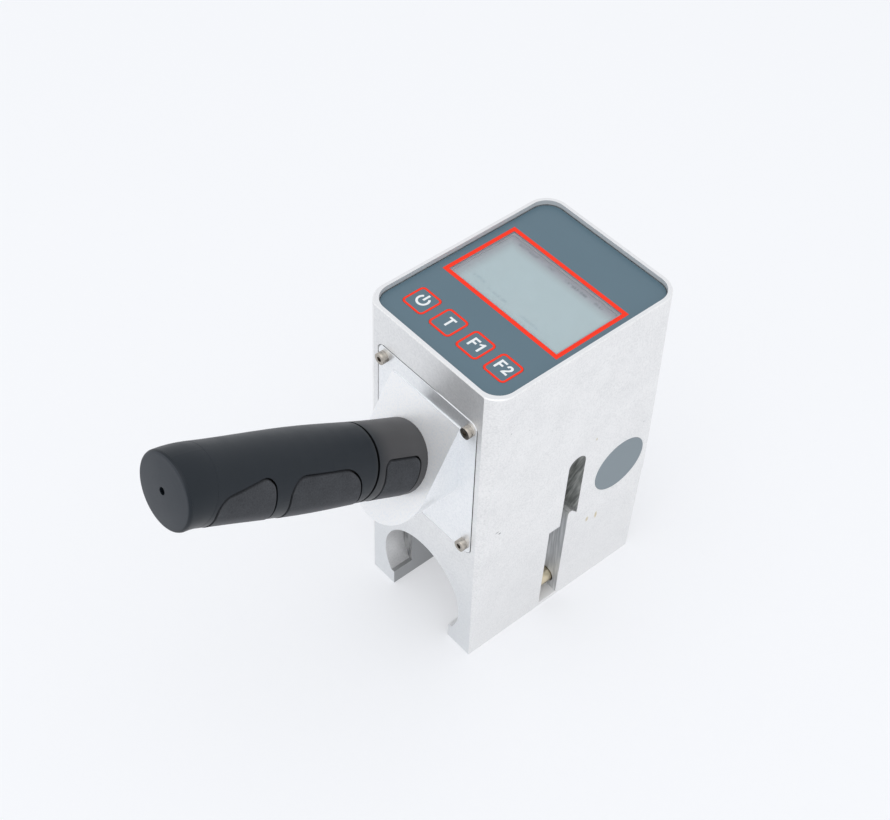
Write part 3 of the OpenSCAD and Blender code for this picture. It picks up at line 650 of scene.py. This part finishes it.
@dataclass(frozen=True)
class BracketAluminium(MilledAluminium):
    """The bracket's aluminium, paler than the block's as painted light, with painted shade in the gap round its plate
    and a painted highlight on the boss's slope.
    """

    # Paler than the block's aluminium: painted light
    bright: Colour = (0.97, 0.98, 0.99)
    dull: Colour = (0.83, 0.855, 0.88)
    metallic: float = 0.76
    rough: float = 0.36
    # Painted shade: the plate's edges in the gap round it are painted nearly black.
    side_x: Span = mm(30.7, 30.9)
    upper_below: Span = mm(0.5, 0.3)
    upper_x: Span = mm(9.0, 3.0)
    gap_depth: Span = mm(0.08, 0.2)
    gap_shade_tone: Colour = (0.02, 0.02, 0.022)
    edge_facing: Span = (0.4, 0.6)
    # Painted highlight: the boss's upward slope is painted near white and mirrors less.
    slope_facing: Triple = (0.35, 0.75, 0.05)
    slope_depth: Span = mm(0.0, -1.0)
    slope_highlight_wash: float = 0.95
    slope_highlight_metallic: float = 0.45
    highlight_mottle: Pattern = Pattern(0.8 * MM, (0.34, 0.58), (0.945, 0.965, 0.99), (1.0, 1.0, 1.0), detail=3.0)

    def mark(self, look: Look) -> None:
        """Paints shade on the plate's edges in the gap and a highlight on the boss's slope; see MilledAluminium."""
        board = look.board
        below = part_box("handle_bracket")[1].z - board.z
        depth = board.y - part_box("load_block")[0].y
        face_x, _, face_z = board.facing()
        # Painted shade on the plate's edges in the gap
        sides = board.x.rise(*self.side_x) * face_x.rise(*self.edge_facing)
        upper = below.rise(*self.upper_below) * face_z.rise(*self.edge_facing) * board.x.rise(*self.upper_x)
        look.wash((sides + upper) * depth.rise(*self.gap_depth), self.gap_shade_tone, 0.0)
        # Painted highlight on the boss's slope
        slope = face_z.band(*self.slope_facing) * depth.rise(*self.slope_depth)
        look.wash(slope * self.slope_highlight_wash, self.highlight_mottle.tone(board), self.slope_highlight_metallic)


@dataclass(frozen=True)
class TurnedMetal:
    """A plain metal such as a screw, a tube or a standoff, with painted shade on its under-sides."""

    name: str
    colour: Colour
    dark: Colour
    rough: float = 0.28
    size: float = 0.5 * MM
    cloud_size: float = 2.2 * MM
    rough_cloud: float = 0.2
    painted_under_facing: Span = (0.35, -0.55)
    painted_under_share: float = 0.7
    painted_under_shade: float = 0.3
    bump: Span = (0.02 * MM, 0.4)

    def build(self) -> Material:
        """Makes the material."""
        board = Board(self.name)
        fine = board.noise(self.size)
        cloud = board.noise(self.cloud_size)
        colour = board.mix(fine * 0.5 + cloud * 0.5, self.dark, self.colour)
        # Painted shade: the faces that look downwards are darkened
        under = board.normal()[2].rise(*self.painted_under_facing)
        shadow = tuple(part * self.painted_under_shade for part in self.dark)
        colour = board.mix(under * self.painted_under_share, colour, shadow)
        rough = (cloud - MEAN) * self.rough_cloud + self.rough
        normal = board.bump(fine, *self.bump)
        return board.finish(Base_Color=colour, Metallic=1.0, Roughness=rough, Normal=normal)


@dataclass(frozen=True)
class Moulding:
    """A plastic or rubber moulding with a fine surface grain."""

    name: str
    colour: Colour
    light: Colour
    rough: float = 0.5
    grain_size: float = 0.4 * MM
    grain_depth: float = 0.02 * MM
    gloss: float = 0.4
    grain_share: float = 0.9
    cloud_size: float = 9.0 * MM
    cloud_share: float = 0.6
    level: float = 0.4
    rough_cloud: float = 0.14
    rough_grain: float = 0.1
    bump_strength: float = 0.8

    def mark(self, board: Board, colour: Socket) -> Socket:
        """Adds the marks of one piece; a plain moulding has none.

        Args:
            board: The material.
            colour: The plain colour.

        Returns:
            The colour with the marks.
        """
        return colour

    def build(self) -> Material:
        """Makes the material."""
        board = Board(self.name)
        grain = board.noise(self.grain_size)
        cloud = board.noise(self.cloud_size)
        shade = (grain - MEAN) * self.grain_share + (cloud - MEAN) * self.cloud_share + self.level
        colour = board.mix(shade, self.colour, self.light)
        rough = (cloud - MEAN) * self.rough_cloud + (grain - MEAN) * self.rough_grain + self.rough
        normal = board.bump(grain, self.grain_depth, self.bump_strength)
        return board.finish(Base_Color=self.mark(board, colour), Roughness=rough, Normal=normal,
                            Specular_IOR_Level=self.gloss)


@dataclass(frozen=True)
class PadRubber(Moulding):
    """The rubber of the grip's pads, with painted light from the floor on its under-side."""

    # Painted light from the floor on the under-side
    painted_under_facing: Span = (-0.2, -0.62)
    painted_under_light: Colour = (0.125, 0.126, 0.133)

    def mark(self, board: Board, colour: Socket) -> Socket:
        """Paints light from the floor on the under-side; see Moulding."""
        return board.mix(board.normal()[2].rise(*self.painted_under_facing), colour, self.painted_under_light)


@dataclass(frozen=True)
class GripRubber(Moulding):
    """The grip's rubber, with painted shade in its grooves, painted light at the collar and on its lower side, and a
    paler, bluish tone on its end face.

    Distances along the grip are measured from its root at the bracket.
    """

    swell_r: float = 17.4 * MM
    swell_in: float = 62.0 * MM
    swell_fall: float = 0.30
    # Painted shade: the grooves between the pads and at the ring are painted black.
    groove_in: float = 0.6 * MM
    groove_soft: float = 0.15 * MM
    groove_shade_tone: Colour = (0.002, 0.002, 0.002)
    bend_in: float = 115.0 * MM
    bend_soft: float = 0.5 * MM
    tube_r: float = 11.0 * MM
    tube_end: float = 121.0 * MM
    # Painted light: the grip is paler at the collar near its root, where the block's bright metal lights it.
    root_light_in: Span = mm(34.0, 20.0)
    root_light_tone: Colour = (0.060, 0.059, 0.061)
    # Painted light from the floor on the grip's lower side.
    painted_under_facing: Span = (-0.1, -0.7)
    painted_under_share: float = 0.8
    painted_under_light: Colour = (0.070, 0.071, 0.075)
    # A paler, bluish tone on the end face.
    end_facing: Span = (0.80, 0.93)
    end_tone: Colour = (0.036, 0.042, 0.051)

    def mark(self, board: Board, colour: Socket) -> Socket:
        """Paints shade in the grooves and light at the collar and on the lower side, and gives the end face a paler
        tone; see Moulding.
        """
        low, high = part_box("handle_tube")
        middle = (low + high) / 2
        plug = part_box("handle_plug")
        axis = (middle - (plug[0] + plug[1]) / 2).normalized()
        half = ((high.y - low.y) / 2 - self.tube_r * abs(axis.z)) / abs(axis.y)
        y, z = board.y - middle.y, board.z - middle.z
        along = y * axis.y + z * axis.z + (self.tube_end - half)
        across = (board.x.power(2.0) + (z * axis.y - y * axis.z).power(2.0)).power(0.5)
        bulge = (along - self.swell_in).power(2.0) * self.swell_fall
        lip = self.swell_r - self.groove_in
        groove = (across + bulge).rise(lip, lip - self.groove_soft)
        groove = groove * along.rise(self.bend_in + self.bend_soft, self.bend_in - self.bend_soft)
        _, normal_y, normal_z = board.normal()
        end = (normal_y * axis.y + normal_z * axis.z).rise(*self.end_facing)
        end = end * along.rise(self.bend_in - self.bend_soft, self.bend_in)
        # Painted light at the collar
        colour = board.mix(along.rise(*self.root_light_in), colour, self.root_light_tone)
        # Painted light from the floor on the lower side
        colour = board.mix(normal_z.rise(*self.painted_under_facing) * self.painted_under_share, colour, self.painted_under_light)
        # Painted shade in the grooves
        colour = board.mix(groove, colour, self.groove_shade_tone)
        return board.mix(end, colour, self.end_tone)


@dataclass(frozen=True)
class PrintedFilm:
    """The satin polyester film of the panel and of the keys on it."""

    name: str
    colour: Colour = (0.093, 0.156, 0.196)
    light: Colour = (0.105, 0.172, 0.214)
    rough: float = 0.30
    gloss: float = 0.45
    satin_size: float = 0.18 * MM
    satin_share: float = 0.3
    cloud_size: float = 22.0 * MM
    cloud_share: float = 0.7
    rough_cloud: float = 0.08
    bump: Span = (0.004 * MM, 0.5)

    def build(self) -> Material:
        """Makes the material."""
        board = Board(self.name)
        satin = board.noise(self.satin_size, 1.0)
        cloud = board.noise(self.cloud_size)
        colour = board.mix(cloud * self.cloud_share + satin * self.satin_share, self.colour, self.light)
        rough = (cloud - MEAN) * self.rough_cloud + self.rough
        normal = board.bump(satin, *self.bump)
        return board.finish(Base_Color=colour, Roughness=rough, Normal=normal, Specular_IOR_Level=self.gloss)


@dataclass(frozen=True)
class Ink:
    """Opaque printing ink."""

    name: str
    colour: Colour
    worn: Colour
    grain_size: float = 0.6 * MM
    grain_edges: Span = (0.35, 0.75)
    rough: float = 0.5
    gloss: float = 0.2

    def build(self) -> Material:
        """Makes the material."""
        board = Board(self.name)
        tone = Pattern(self.grain_size, self.grain_edges, self.colour, self.worn).tone(board)
        return board.finish(Base_Color=tone, Roughness=self.rough, Specular_IOR_Level=self.gloss)


@dataclass(frozen=True)
class WindowFilm:
    """The clear, slightly glossy film over the display."""

    name: str = "window_film"
    colour: Colour = (0.62, 0.68, 0.70)
    gloss: float = 0.4
    haze_size: float = 16.0 * MM
    rough: float = 0.12
    rough_haze: float = 0.1
    alpha: float = 0.12
    alpha_haze: float = 0.06
    grain_size: float = 0.3 * MM
    bump: Span = (0.002 * MM, 0.4)

    def build(self) -> Material:
        """Makes the material."""
        board = Board(self.name)
        haze = board.noise(self.haze_size)
        normal = board.bump(board.noise(self.grain_size, 1.0), *self.bump)
        return board.finish(Base_Color=self.colour, Roughness=haze * self.rough_haze + self.rough,
                            Alpha=haze * self.alpha_haze + self.alpha, Normal=normal, Specular_IOR_Level=self.gloss)


@dataclass(frozen=True)
class Ghost:
    """One faint mark of resting segments: its ends, and its distance from the front face."""

    left: float
    right: float
    depth: float


@dataclass(frozen=True)
class LiquidCrystal:
    """The grey display glass, with the faint ghosts of its resting segments and a pinkish band along its rear and left
    edges that is partly its own tint and partly painted shadow of the window's frame.
    """

    name: str = "display_glass"
    colour: Colour = (0.44, 0.555, 0.58)
    light: Colour = (0.49, 0.60, 0.62)
    cloud_size: float = 18.0 * MM
    rough: float = 0.35
    gloss: float = 0.3
    # Painted shadow of the window's frame, partly the glass's own pinkish tint, along the rear and left edges and at
    # the rear right corner.
    edge: Colour = (0.245, 0.195, 0.235)
    edge_shade_rear: Span = mm(-9.0, 0.5)
    edge_shade_left: Span = mm(8.5, -0.5)
    edge_shade_left_share: float = 0.75
    edge_shade_right: Span = mm(-4.0, 2.0)
    edge_shade_right_share: float = 0.5
    edge_shade_right_rear: Span = (0.0, 0.4)
    ghost_half: float = 0.7 * MM
    ghost_soft: Span = mm(0.7, 0.6)
    stroke_size: float = 0.8 * MM
    stroke_stretch: Triple = (1.0, 0.35, 1.0)
    stroke_edges: Span = (0.38, 0.62)
    rear_tone: Colour = (0.12, 0.12, 0.16)
    rear_share: float = 0.9
    rear_row: tuple[Ghost, ...] = (
        Ghost(*mm(-26.3, -14.9, 74.4)), Ghost(*mm(-8.4, -4.2, 74.0)),
        Ghost(*mm(2.0, 15.8, 73.8)), Ghost(*mm(20.4, 25.2, 73.8)))
    front_tone: Colour = (0.31, 0.41, 0.46)
    front_share: float = 0.8
    front_row: tuple[Ghost, ...] = (
        Ghost(*mm(-25.7, -17.8, 47.0)), Ghost(*mm(-15.1, -3.4, 45.6)),
        Ghost(*mm(6.0, 17.2, 44.9)))

    def ghosts(self, board: Board, row: tuple[Ghost, ...]) -> Value:
        """Makes the ghosts of a row of resting segments.

        Args:
            board: The material.
            row: The ghosts.

        Returns:
            A mask that is 1 in the ghosts.
        """
        inward = board.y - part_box("load_block")[0].y
        end_soft, side_soft = self.ghost_soft
        total: Number = 0.0
        for ghost in row:
            mark = board.x.band(ghost.left, ghost.right, end_soft)
            total = mark * inward.band(ghost.depth - self.ghost_half, ghost.depth + self.ghost_half, side_soft) + total
        return total * board.noise(self.stroke_size, 2.0, self.stroke_stretch).rise(*self.stroke_edges)

    def build(self) -> Material:
        """Makes the material."""
        low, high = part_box("display_window")
        board = Board(self.name)
        colour = board.mix(board.noise(self.cloud_size), self.colour, self.light)
        # Painted shadow of the window's frame, partly the glass's own tint
        rear = (board.y - high.y).rise(*self.edge_shade_rear)
        left = (board.x - low.x).rise(*self.edge_shade_left) * self.edge_shade_left_share
        right = (board.x - high.x).rise(*self.edge_shade_right) * rear.rise(*self.edge_shade_right_rear) * self.edge_shade_right_share
        colour = board.mix(rear.larger(left).larger(right), colour, self.edge)
        colour = board.mix(self.ghosts(board, self.rear_row) * self.rear_share, colour, self.rear_tone)
        colour = board.mix(self.ghosts(board, self.front_row) * self.front_share, colour, self.front_tone)
        return board.finish(Base_Color=colour, Roughness=self.rough, Specular_IOR_Level=self.gloss)


@dataclass(frozen=True)
class EdgeBreak:
    """The small break that is left on the edges of a piece."""

    width: float
    segments: int = 2
    sharp: float = 30.0
    flat_angle: float = 0.3
    weld_gap: float = 0.001 * MM

    def apply(self, obj: Object) -> None:
        """Adds the modifiers that break the edges.

        Args:
            obj: The piece.
        """
        weld = obj.modifiers.new("weld", "WELD")
        weld.merge_threshold = self.weld_gap
        flat = obj.modifiers.new("flat", "DECIMATE")
        flat.decimate_type = "DISSOLVE"
        flat.angle_limit = math.radians(self.flat_angle)
        edge = obj.modifiers.new("edge", "BEVEL")
        edge.width = self.width
        edge.segments = self.segments
        edge.limit_method = "ANGLE"
        edge.angle_limit = math.radians(self.sharp)
        edge.harden_normals = True


class Piece:
    """Helpers for the pieces that are added to the frame."""

    @staticmethod
    def from_bmesh(name: str, shape: Shape) -> Object:
        """Turns a bmesh into an object at the origin.

        Args:
            name: The piece's name.
            shape: Its shape; it is freed.

        Returns:
            The object.
        """
        mesh = bpy.data.meshes.new(name)
        shape.to_mesh(mesh)
        shape.free()
        obj = bpy.data.objects.new(name, mesh)
        bpy.context.scene.collection.objects.link(obj)
        return obj

    @staticmethod
    def top(low: Vector, high: Vector) -> tuple[Vector, float, float]:
        """Finds the top of a box.

        Args:
            low: Lowest corner of the box.
            high: Highest corner of the box.

        Returns:
            The middle of the top, its width and its depth.
        """
        middle = Vector(((low.x + high.x) / 2, (low.y + high.y) / 2, high.z))
        return middle, high.x - low.x, high.y - low.y

    @staticmethod
    def ring(width: float, depth: float, line: float, corner: float = 0.0, steps: int = 8) -> Shape:
        """Makes a flat ring around the origin.

        Args:
            width: Outer width.
            depth: Outer depth.
            line: Width of the ring's line.
            corner: Radius of the outer corners; 0 leaves them square.
            steps: Faces of each rounded corner.

        Returns:
            The ring.
        """
        shape = bmesh.new()
        bmesh.ops.create_grid(shape, x_segments=1, y_segments=1, size=0.5)
        bmesh.ops.scale(shape, vec=(width, depth, 1.0), verts=shape.verts)
        if corner:
            bmesh.ops.bevel(shape, geom=shape.verts[:], offset=corner, offset_type="OFFSET", affect="VERTICES",
                            segments=steps, profile=0.5, material=-1)
        shape.normal_update()
        bmesh.ops.inset_region(shape, faces=shape.faces[:], thickness=line, use_even_offset=True, use_boundary=True)
        inner = max(shape.faces, key=lambda face: face.calc_area())
        bmesh.ops.delete(shape, geom=[inner], context="FACES")
        return shape

    @staticmethod
    def raised(shape: Shape, name: str, middle: Vector, proud: float) -> Object:
        """Gives a flat print its thickness and lays it in its place.

        Args:
            shape: The flat print, around the origin.
            name: The piece's name.
            middle: The place of the print's middle.
            proud: The print's thickness.

        Returns:
            The piece.
        """
        edges = bmesh.ops.extrude_face_region(shape, geom=shape.faces[:])
        top = [item for item in edges["geom"] if isinstance(item, bmesh.types.BMVert)]
        bmesh.ops.translate(shape, vec=(0.0, 0.0, proud), verts=top)
        bmesh.ops.recalc_face_normals(shape, faces=shape.faces[:])
        bmesh.ops.translate(shape, vec=middle, verts=shape.verts)
        shape.verts.sort(key=lambda vert: vert.co.dot(ORDER))
        shape.edges.sort(key=lambda edge: (edge.verts[0].co + edge.verts[1].co).dot(ORDER))
        shape.faces.sort(key=lambda face: face.calc_center_median().dot(ORDER))
        return Piece.from_bmesh(name, shape)

    @staticmethod
    def settle(obj: Object, body: Body, slot: Slot, material: Material) -> None:
        """Gives a piece its finish and puts it on its body.

        Args:
            obj: The piece.
            body: The body that it rides on.
            slot: The record's slot that its finish belongs to; not used.
            material: Its finish.
        """
        obj.data.materials.clear()
        obj.data.materials.append(material)
        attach(obj, body.value)
        log.info("%s: %d faces on %s", obj.name, len(obj.data.polygons), body.value)


# Outlines of the legends' letters, with a height of 1
GLYPHS: dict[str, tuple[tuple[float, float], ...]] = {
    "T": ((0.27, 0.0), (0.47, 0.0), (0.47, 0.82), (0.74, 0.82), (0.74, 1.0), (0.0, 1.0), (0.0, 0.82), (0.27, 0.82)),
    "F": ((0.0, 0.0), (0.2, 0.0), (0.2, 0.42), (0.56, 0.42), (0.56, 0.6), (0.2, 0.6), (0.2, 0.82), (0.64, 0.82),
          (0.64, 1.0), (0.0, 1.0)),
    "1": ((0.25, 0.0), (0.45, 0.0), (0.45, 1.0), (0.29, 1.0), (0.17, 0.87), (0.0, 0.79), (0.0, 0.62), (0.14, 0.67),
          (0.25, 0.74)),
    "2": ((0.0, 0.0), (0.64, 0.0), (0.64, 0.18), (0.28, 0.18), (0.36, 0.28), (0.5, 0.42), (0.6, 0.57), (0.63, 0.71),
          (0.59, 0.87), (0.49, 0.97), (0.32, 1.0), (0.16, 0.97), (0.06, 0.86), (0.02, 0.7), (0.2, 0.68), (0.24, 0.79),
          (0.32, 0.83), (0.4, 0.79), (0.43, 0.68), (0.39, 0.56), (0.27, 0.43), (0.12, 0.27), (0.03, 0.13)),
}


@dataclass
class KeyPrint:
    """The printed outline and legend of one key."""

    node: str
    body: Body
    legend: str
    line: float = 1.0 * MM
    corner: float = 2.2 * MM
    letter_h: float = 5.35 * MM
    letter_gap: float = 0.13
    rear_shift: float = 0.5 * MM
    symbol_r: float = 3.2 * MM
    symbol_line: float = 1.05 * MM
    symbol_gap: float = 40.0
    symbol_steps: int = 40
    bar_length: float = 1.2
    bar_shift: float = 0.62
    proud: float = 0.05 * MM

    def outline(self) -> Object:
        """Makes the rounded outline on the rim of the key."""
        middle, width, depth = Piece.top(*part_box(self.node))
        shape = Piece.ring(width, depth, self.line, self.corner)
        return Piece.raised(shape, self.node + "_outline", middle, self.proud)

    def symbol(self) -> Shape:
        """Makes the flat standby symbol: an open ring and a bar."""
        shape = bmesh.new()
        inner = self.symbol_r - self.symbol_line
        gap = math.radians(self.symbol_gap)
        ends = [shape.verts.new((radius * math.sin(gap), radius * math.cos(gap), 0.0))
                for radius in (inner, self.symbol_r)]
        bmesh.ops.spin(shape, geom=[*ends, shape.edges.new(ends)], cent=(0.0, 0.0, 0.0), axis=(0.0, 0.0, -1.0),
                       angle=2.0 * (math.pi - gap), steps=self.symbol_steps)
        bar = bmesh.ops.create_grid(shape, x_segments=1, y_segments=1, size=0.5)["verts"]
        bmesh.ops.scale(shape, vec=(self.symbol_line, self.symbol_r * self.bar_length, 1.0), verts=bar)
        bmesh.ops.translate(shape, vec=(0.0, self.symbol_r * self.bar_shift, 0.0), verts=bar)
        return shape

    def lettering(self) -> Shape:
        """Makes the legend's flat letters."""
        shape = bmesh.new()
        start = 0.0
        for letter in self.legend:
            outline = GLYPHS[letter]
            shape.faces.new([shape.verts.new((start + x, y, 0.0)) for x, y in outline])
            start += max(x for x, _ in outline) + self.letter_gap
        bmesh.ops.translate(shape, vec=((self.letter_gap - start) / 2, -0.5, 0.0), verts=shape.verts)
        bmesh.ops.scale(shape, vec=(self.letter_h, self.letter_h, 1.0), verts=shape.verts)
        return shape

    def build(self, red: Material, white: Material) -> None:
        """Makes the prints of the key.

        Args:
            red: The ink of the outline.
            white: The ink of the legend.
        """
        Piece.settle(self.outline(), self.body, Slot.KEY, red)
        shape = self.lettering() if self.legend else self.symbol()
        middle = Piece.top(*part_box(self.node))[0] + Vector((0.0, self.rear_shift, 0.0))
        Piece.settle(Piece.raised(shape, self.node + "_legend", middle, self.proud), self.body, Slot.KEY, white)


@dataclass
class PanelPrint:
    """The printed frame of the display and the prints of the four keys."""

    line: float = 2.0 * MM
    proud: float = 0.05 * MM
    red: Ink = Ink("red_ink", (1.0, 0.034, 0.008), (0.96, 0.044, 0.014))
    white: Ink = Ink("white_ink", (0.88, 0.90, 0.90), (0.80, 0.83, 0.84))
    keys: list[KeyPrint] = field(default_factory=lambda: [
        KeyPrint("power_key", Body.POWER, ""),
        KeyPrint("tare_key", Body.TARE, "T"),
        KeyPrint("f1_key", Body.F1, "F1"),
        KeyPrint("f2_key", Body.F2, "F2"),
    ])

    def display_frame(self) -> Object:
        """Makes the frame round the display window."""
        middle, width, depth = Piece.top(*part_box("display_window"))
        shape = Piece.ring(width + 2 * self.line, depth + 2 * self.line, self.line)
        return Piece.raised(shape, "display_frame", middle, self.proud)

    def build(self) -> None:
        """Makes all the prints."""
        red = self.red.build()
        white = self.white.build()
        Piece.settle(self.display_frame(), Body.METER, Slot.OVERLAY, red)
        for key in self.keys:
            key.build(red, white)


@dataclass
class FrameDress:
    """The finishes of the frame's pieces, and the edge break of the cover screws."""

    screw_break: EdgeBreak = EdgeBreak(0.15 * MM)

    def finishes(self) -> dict[Slot, Material]:
        """Makes the finish of each slot.

        Returns:
            The materials by slot.
        """
        film = PrintedFilm("overlay_film").build()
        return {
            Slot.BLOCK: BlockAluminium("machined_aluminium").build(),
            Slot.BRACKET: BracketAluminium("bracket_aluminium").build(),
            Slot.PANEL: Moulding("panel_aluminium", (0.02, 0.02, 0.022), (0.04, 0.04, 0.045), 0.45).build(),
            Slot.OVERLAY: film,
            Slot.KEY: film,
            Slot.WINDOW: WindowFilm().build(),
            Slot.DISPLAY: LiquidCrystal().build(),
            # The tape's tone is the display's painted edge shade, so that the tape shows as part of that shadow.
            Slot.TAPE: Moulding("window_tape", (0.37, 0.34, 0.38), (0.41, 0.38, 0.42), 0.7).build(),
            Slot.GASKET: Moulding("gasket_rubber", (0.012, 0.012, 0.012), (0.03, 0.03, 0.03), 0.8).build(),
            Slot.BLACK_PLASTIC: Moulding("black_plastic", (0.012, 0.012, 0.013), (0.03, 0.03, 0.032), 0.45).build(),
            Slot.BOARD: Moulding("board_laminate", (0.008, 0.07, 0.022), (0.02, 0.14, 0.05), 0.35).build(),
            Slot.BRASS: TurnedMetal("standoff_brass", (0.72, 0.52, 0.20), (0.56, 0.39, 0.13)).build(),
            Slot.STEEL: TurnedMetal("steel", (0.70, 0.65, 0.58), (0.30, 0.27, 0.235), 0.3, 0.7 * MM).build(),
            Slot.ZINC: TurnedMetal("zinc_steel", (0.80, 0.72, 0.54), (0.58, 0.50, 0.35), 0.32).build(),
            Slot.CELL: Moulding("cell_jacket", (0.42, 0.13, 0.025), (0.50, 0.18, 0.04), 0.3).build(),
            Slot.GRIP: GripRubber("grip_rubber", (0.009, 0.0135, 0.0185), (0.014, 0.019, 0.0255), 0.42,
                                  0.35 * MM, 0.012 * MM, 0.26).build(),
            Slot.PAD: PadRubber("pad_rubber", (0.022, 0.024, 0.028), (0.082, 0.086, 0.094), 0.72,
                                0.7 * MM, 0.10 * MM, 0.25).build(),
            Slot.CAP: Moulding("cap_plastic", (0.225, 0.270, 0.297), (0.245, 0.292, 0.320), 0.5).build(),
            Slot.FOIL: Moulding("foil", (0.42, 0.26, 0.06), (0.55, 0.36, 0.10), 0.35).build(),
        }

    def build(self) -> None:
        """Dresses every node of the frame."""
        finishes = self.finishes()
        for part in frame["record"]["subparts"]:
            obj = frame["nodes"][part["node"]]
            obj.data.materials.clear()
            obj.data.materials.append(finishes[Slot(part["material_slot"])])
            if part["node"] == "cover_screws":
                self.screw_break.apply(obj)
            log.info("%s: %s", part["node"], part["material_slot"])


@dataclass
class Studio:
    """The pale floor and the soft light of a product photograph."""

    floor_half: float = 6.0
    floor_colour: Colour = (0.945, 0.953, 0.972)
    floor_fade: float = 0.985
    floor_cloud: float = 0.4
    plain_colour: Colour = (0.945, 0.953, 0.977)
    plain_share: float = 0.45
    sky: Colour = (0.95, 0.97, 1.0)
    sky_strength: float = 0.83
    lamp_height: float = 2.0
    lamp_size: float = 2.2
    lamp_power: float = 12.5
    lamp_offset: tuple[float, float] = (0.4, -0.5)
    lamp_aim: Triple = (0.0, 0.02, 0.08)

    def floor(self) -> None:
        """Makes the floor."""
        shape = bmesh.new()
        bmesh.ops.create_grid(shape, x_segments=1, y_segments=1, size=self.floor_half)
        obj = Piece.from_bmesh("studio_floor", shape)
        board = Board("studio_floor")
        faded = tuple(part * self.floor_fade for part in self.floor_colour)
        colour = board.mix(board.noise(self.floor_cloud), self.floor_colour, faded)
        lit = board.node("ShaderNodeBsdfDiffuse", {"Color": colour})
        plain = board.node("ShaderNodeEmission", {"Color": self.plain_colour, "Strength": 1.0})
        share = board.seen() * self.plain_share
        both = board.node("ShaderNodeMixShader", {0: share, 1: lit.outputs[0], 2: plain.outputs[0]})
        board.node("ShaderNodeOutputMaterial", {"Surface": both.outputs[0]})
        obj.data.materials.append(board.owner)

    def world(self) -> None:
        """Makes the even white surroundings."""
        board = Board("studio", bpy.data.worlds)
        lit = board.node("ShaderNodeBackground", {"Color": self.sky, "Strength": self.sky_strength})
        plain = board.node("ShaderNodeBackground", {"Color": self.plain_colour, "Strength": 1.0})
        both = board.node("ShaderNodeMixShader", {0: board.seen(), 1: lit.outputs[0], 2: plain.outputs[0]})
        board.node("ShaderNodeOutputWorld", {"Surface": both.outputs[0]})
        bpy.context.scene.world = board.owner

    def lamp(self) -> None:
        """Hangs the soft lamp."""
        data = bpy.data.lights.new("softbox", "AREA")
        data.shape = "SQUARE"
        data.size = self.lamp_size
        data.energy = self.lamp_power
        lamp = bpy.data.objects.new("softbox", data)
        lamp.location = (*self.lamp_offset, self.lamp_height)
        aim = Vector(self.lamp_aim) - lamp.location
        lamp.rotation_euler = aim.to_track_quat("-Z", "Y").to_euler()
        bpy.context.scene.collection.objects.link(lamp)

    def build(self) -> None:
        """Sets up the floor and the light."""
        self.floor()
        self.world()
        self.lamp()
        bpy.context.scene.view_settings.view_transform = "Standard"


@dataclass
class Camera:
    """The camera, placed from the middle of the block's front edge on the floor."""

    place: Triple = mm(371.3, -328.5, 674.1)
    azimuth: float = 47.59
    elevation: float = 47.22
    roll: float = -2.24
    lens: float = 71.18
    sensor: float = 36.0
    near: float = 10.0 * MM

    def build(self) -> None:
        """Makes the camera and takes it into use."""
        around, up, tip = (math.radians(angle) for angle in (self.azimuth, self.elevation, self.roll))
        back = Vector((math.sin(around) * math.cos(up), -math.cos(around) * math.cos(up), math.sin(up)))
        level = Vector((math.cos(around), math.sin(around), 0.0))
        down = (-back).cross(level)
        right = math.cos(tip) * level + math.sin(tip) * down
        top = math.sin(tip) * level - math.cos(tip) * down
        data = bpy.data.cameras.new("studio_camera")
        data.lens = self.lens
        data.sensor_width = self.sensor
        data.sensor_fit = "HORIZONTAL"
        data.clip_start = self.near
        camera = bpy.data.objects.new("studio_camera", data)
        turn = Matrix((right, top, back)).transposed().to_4x4()
        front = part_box("load_block")[0].y
        spot = Vector(self.place) + Vector((0.0, front, 0.0))
        camera.matrix_world = Matrix.Translation(spot) @ turn
        bpy.context.scene.collection.objects.link(camera)
        bpy.context.scene.camera = camera


def main() -> None:
    """Dresses the frame, prints the panel and sets up the studio."""
    logging.basicConfig(level=logging.INFO, format="%(message)s")
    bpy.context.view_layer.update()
    Camera().build()
    FrameDress().build()
    PanelPrint().build()
    Studio().build()


if __name__ == "__main__":
    main()
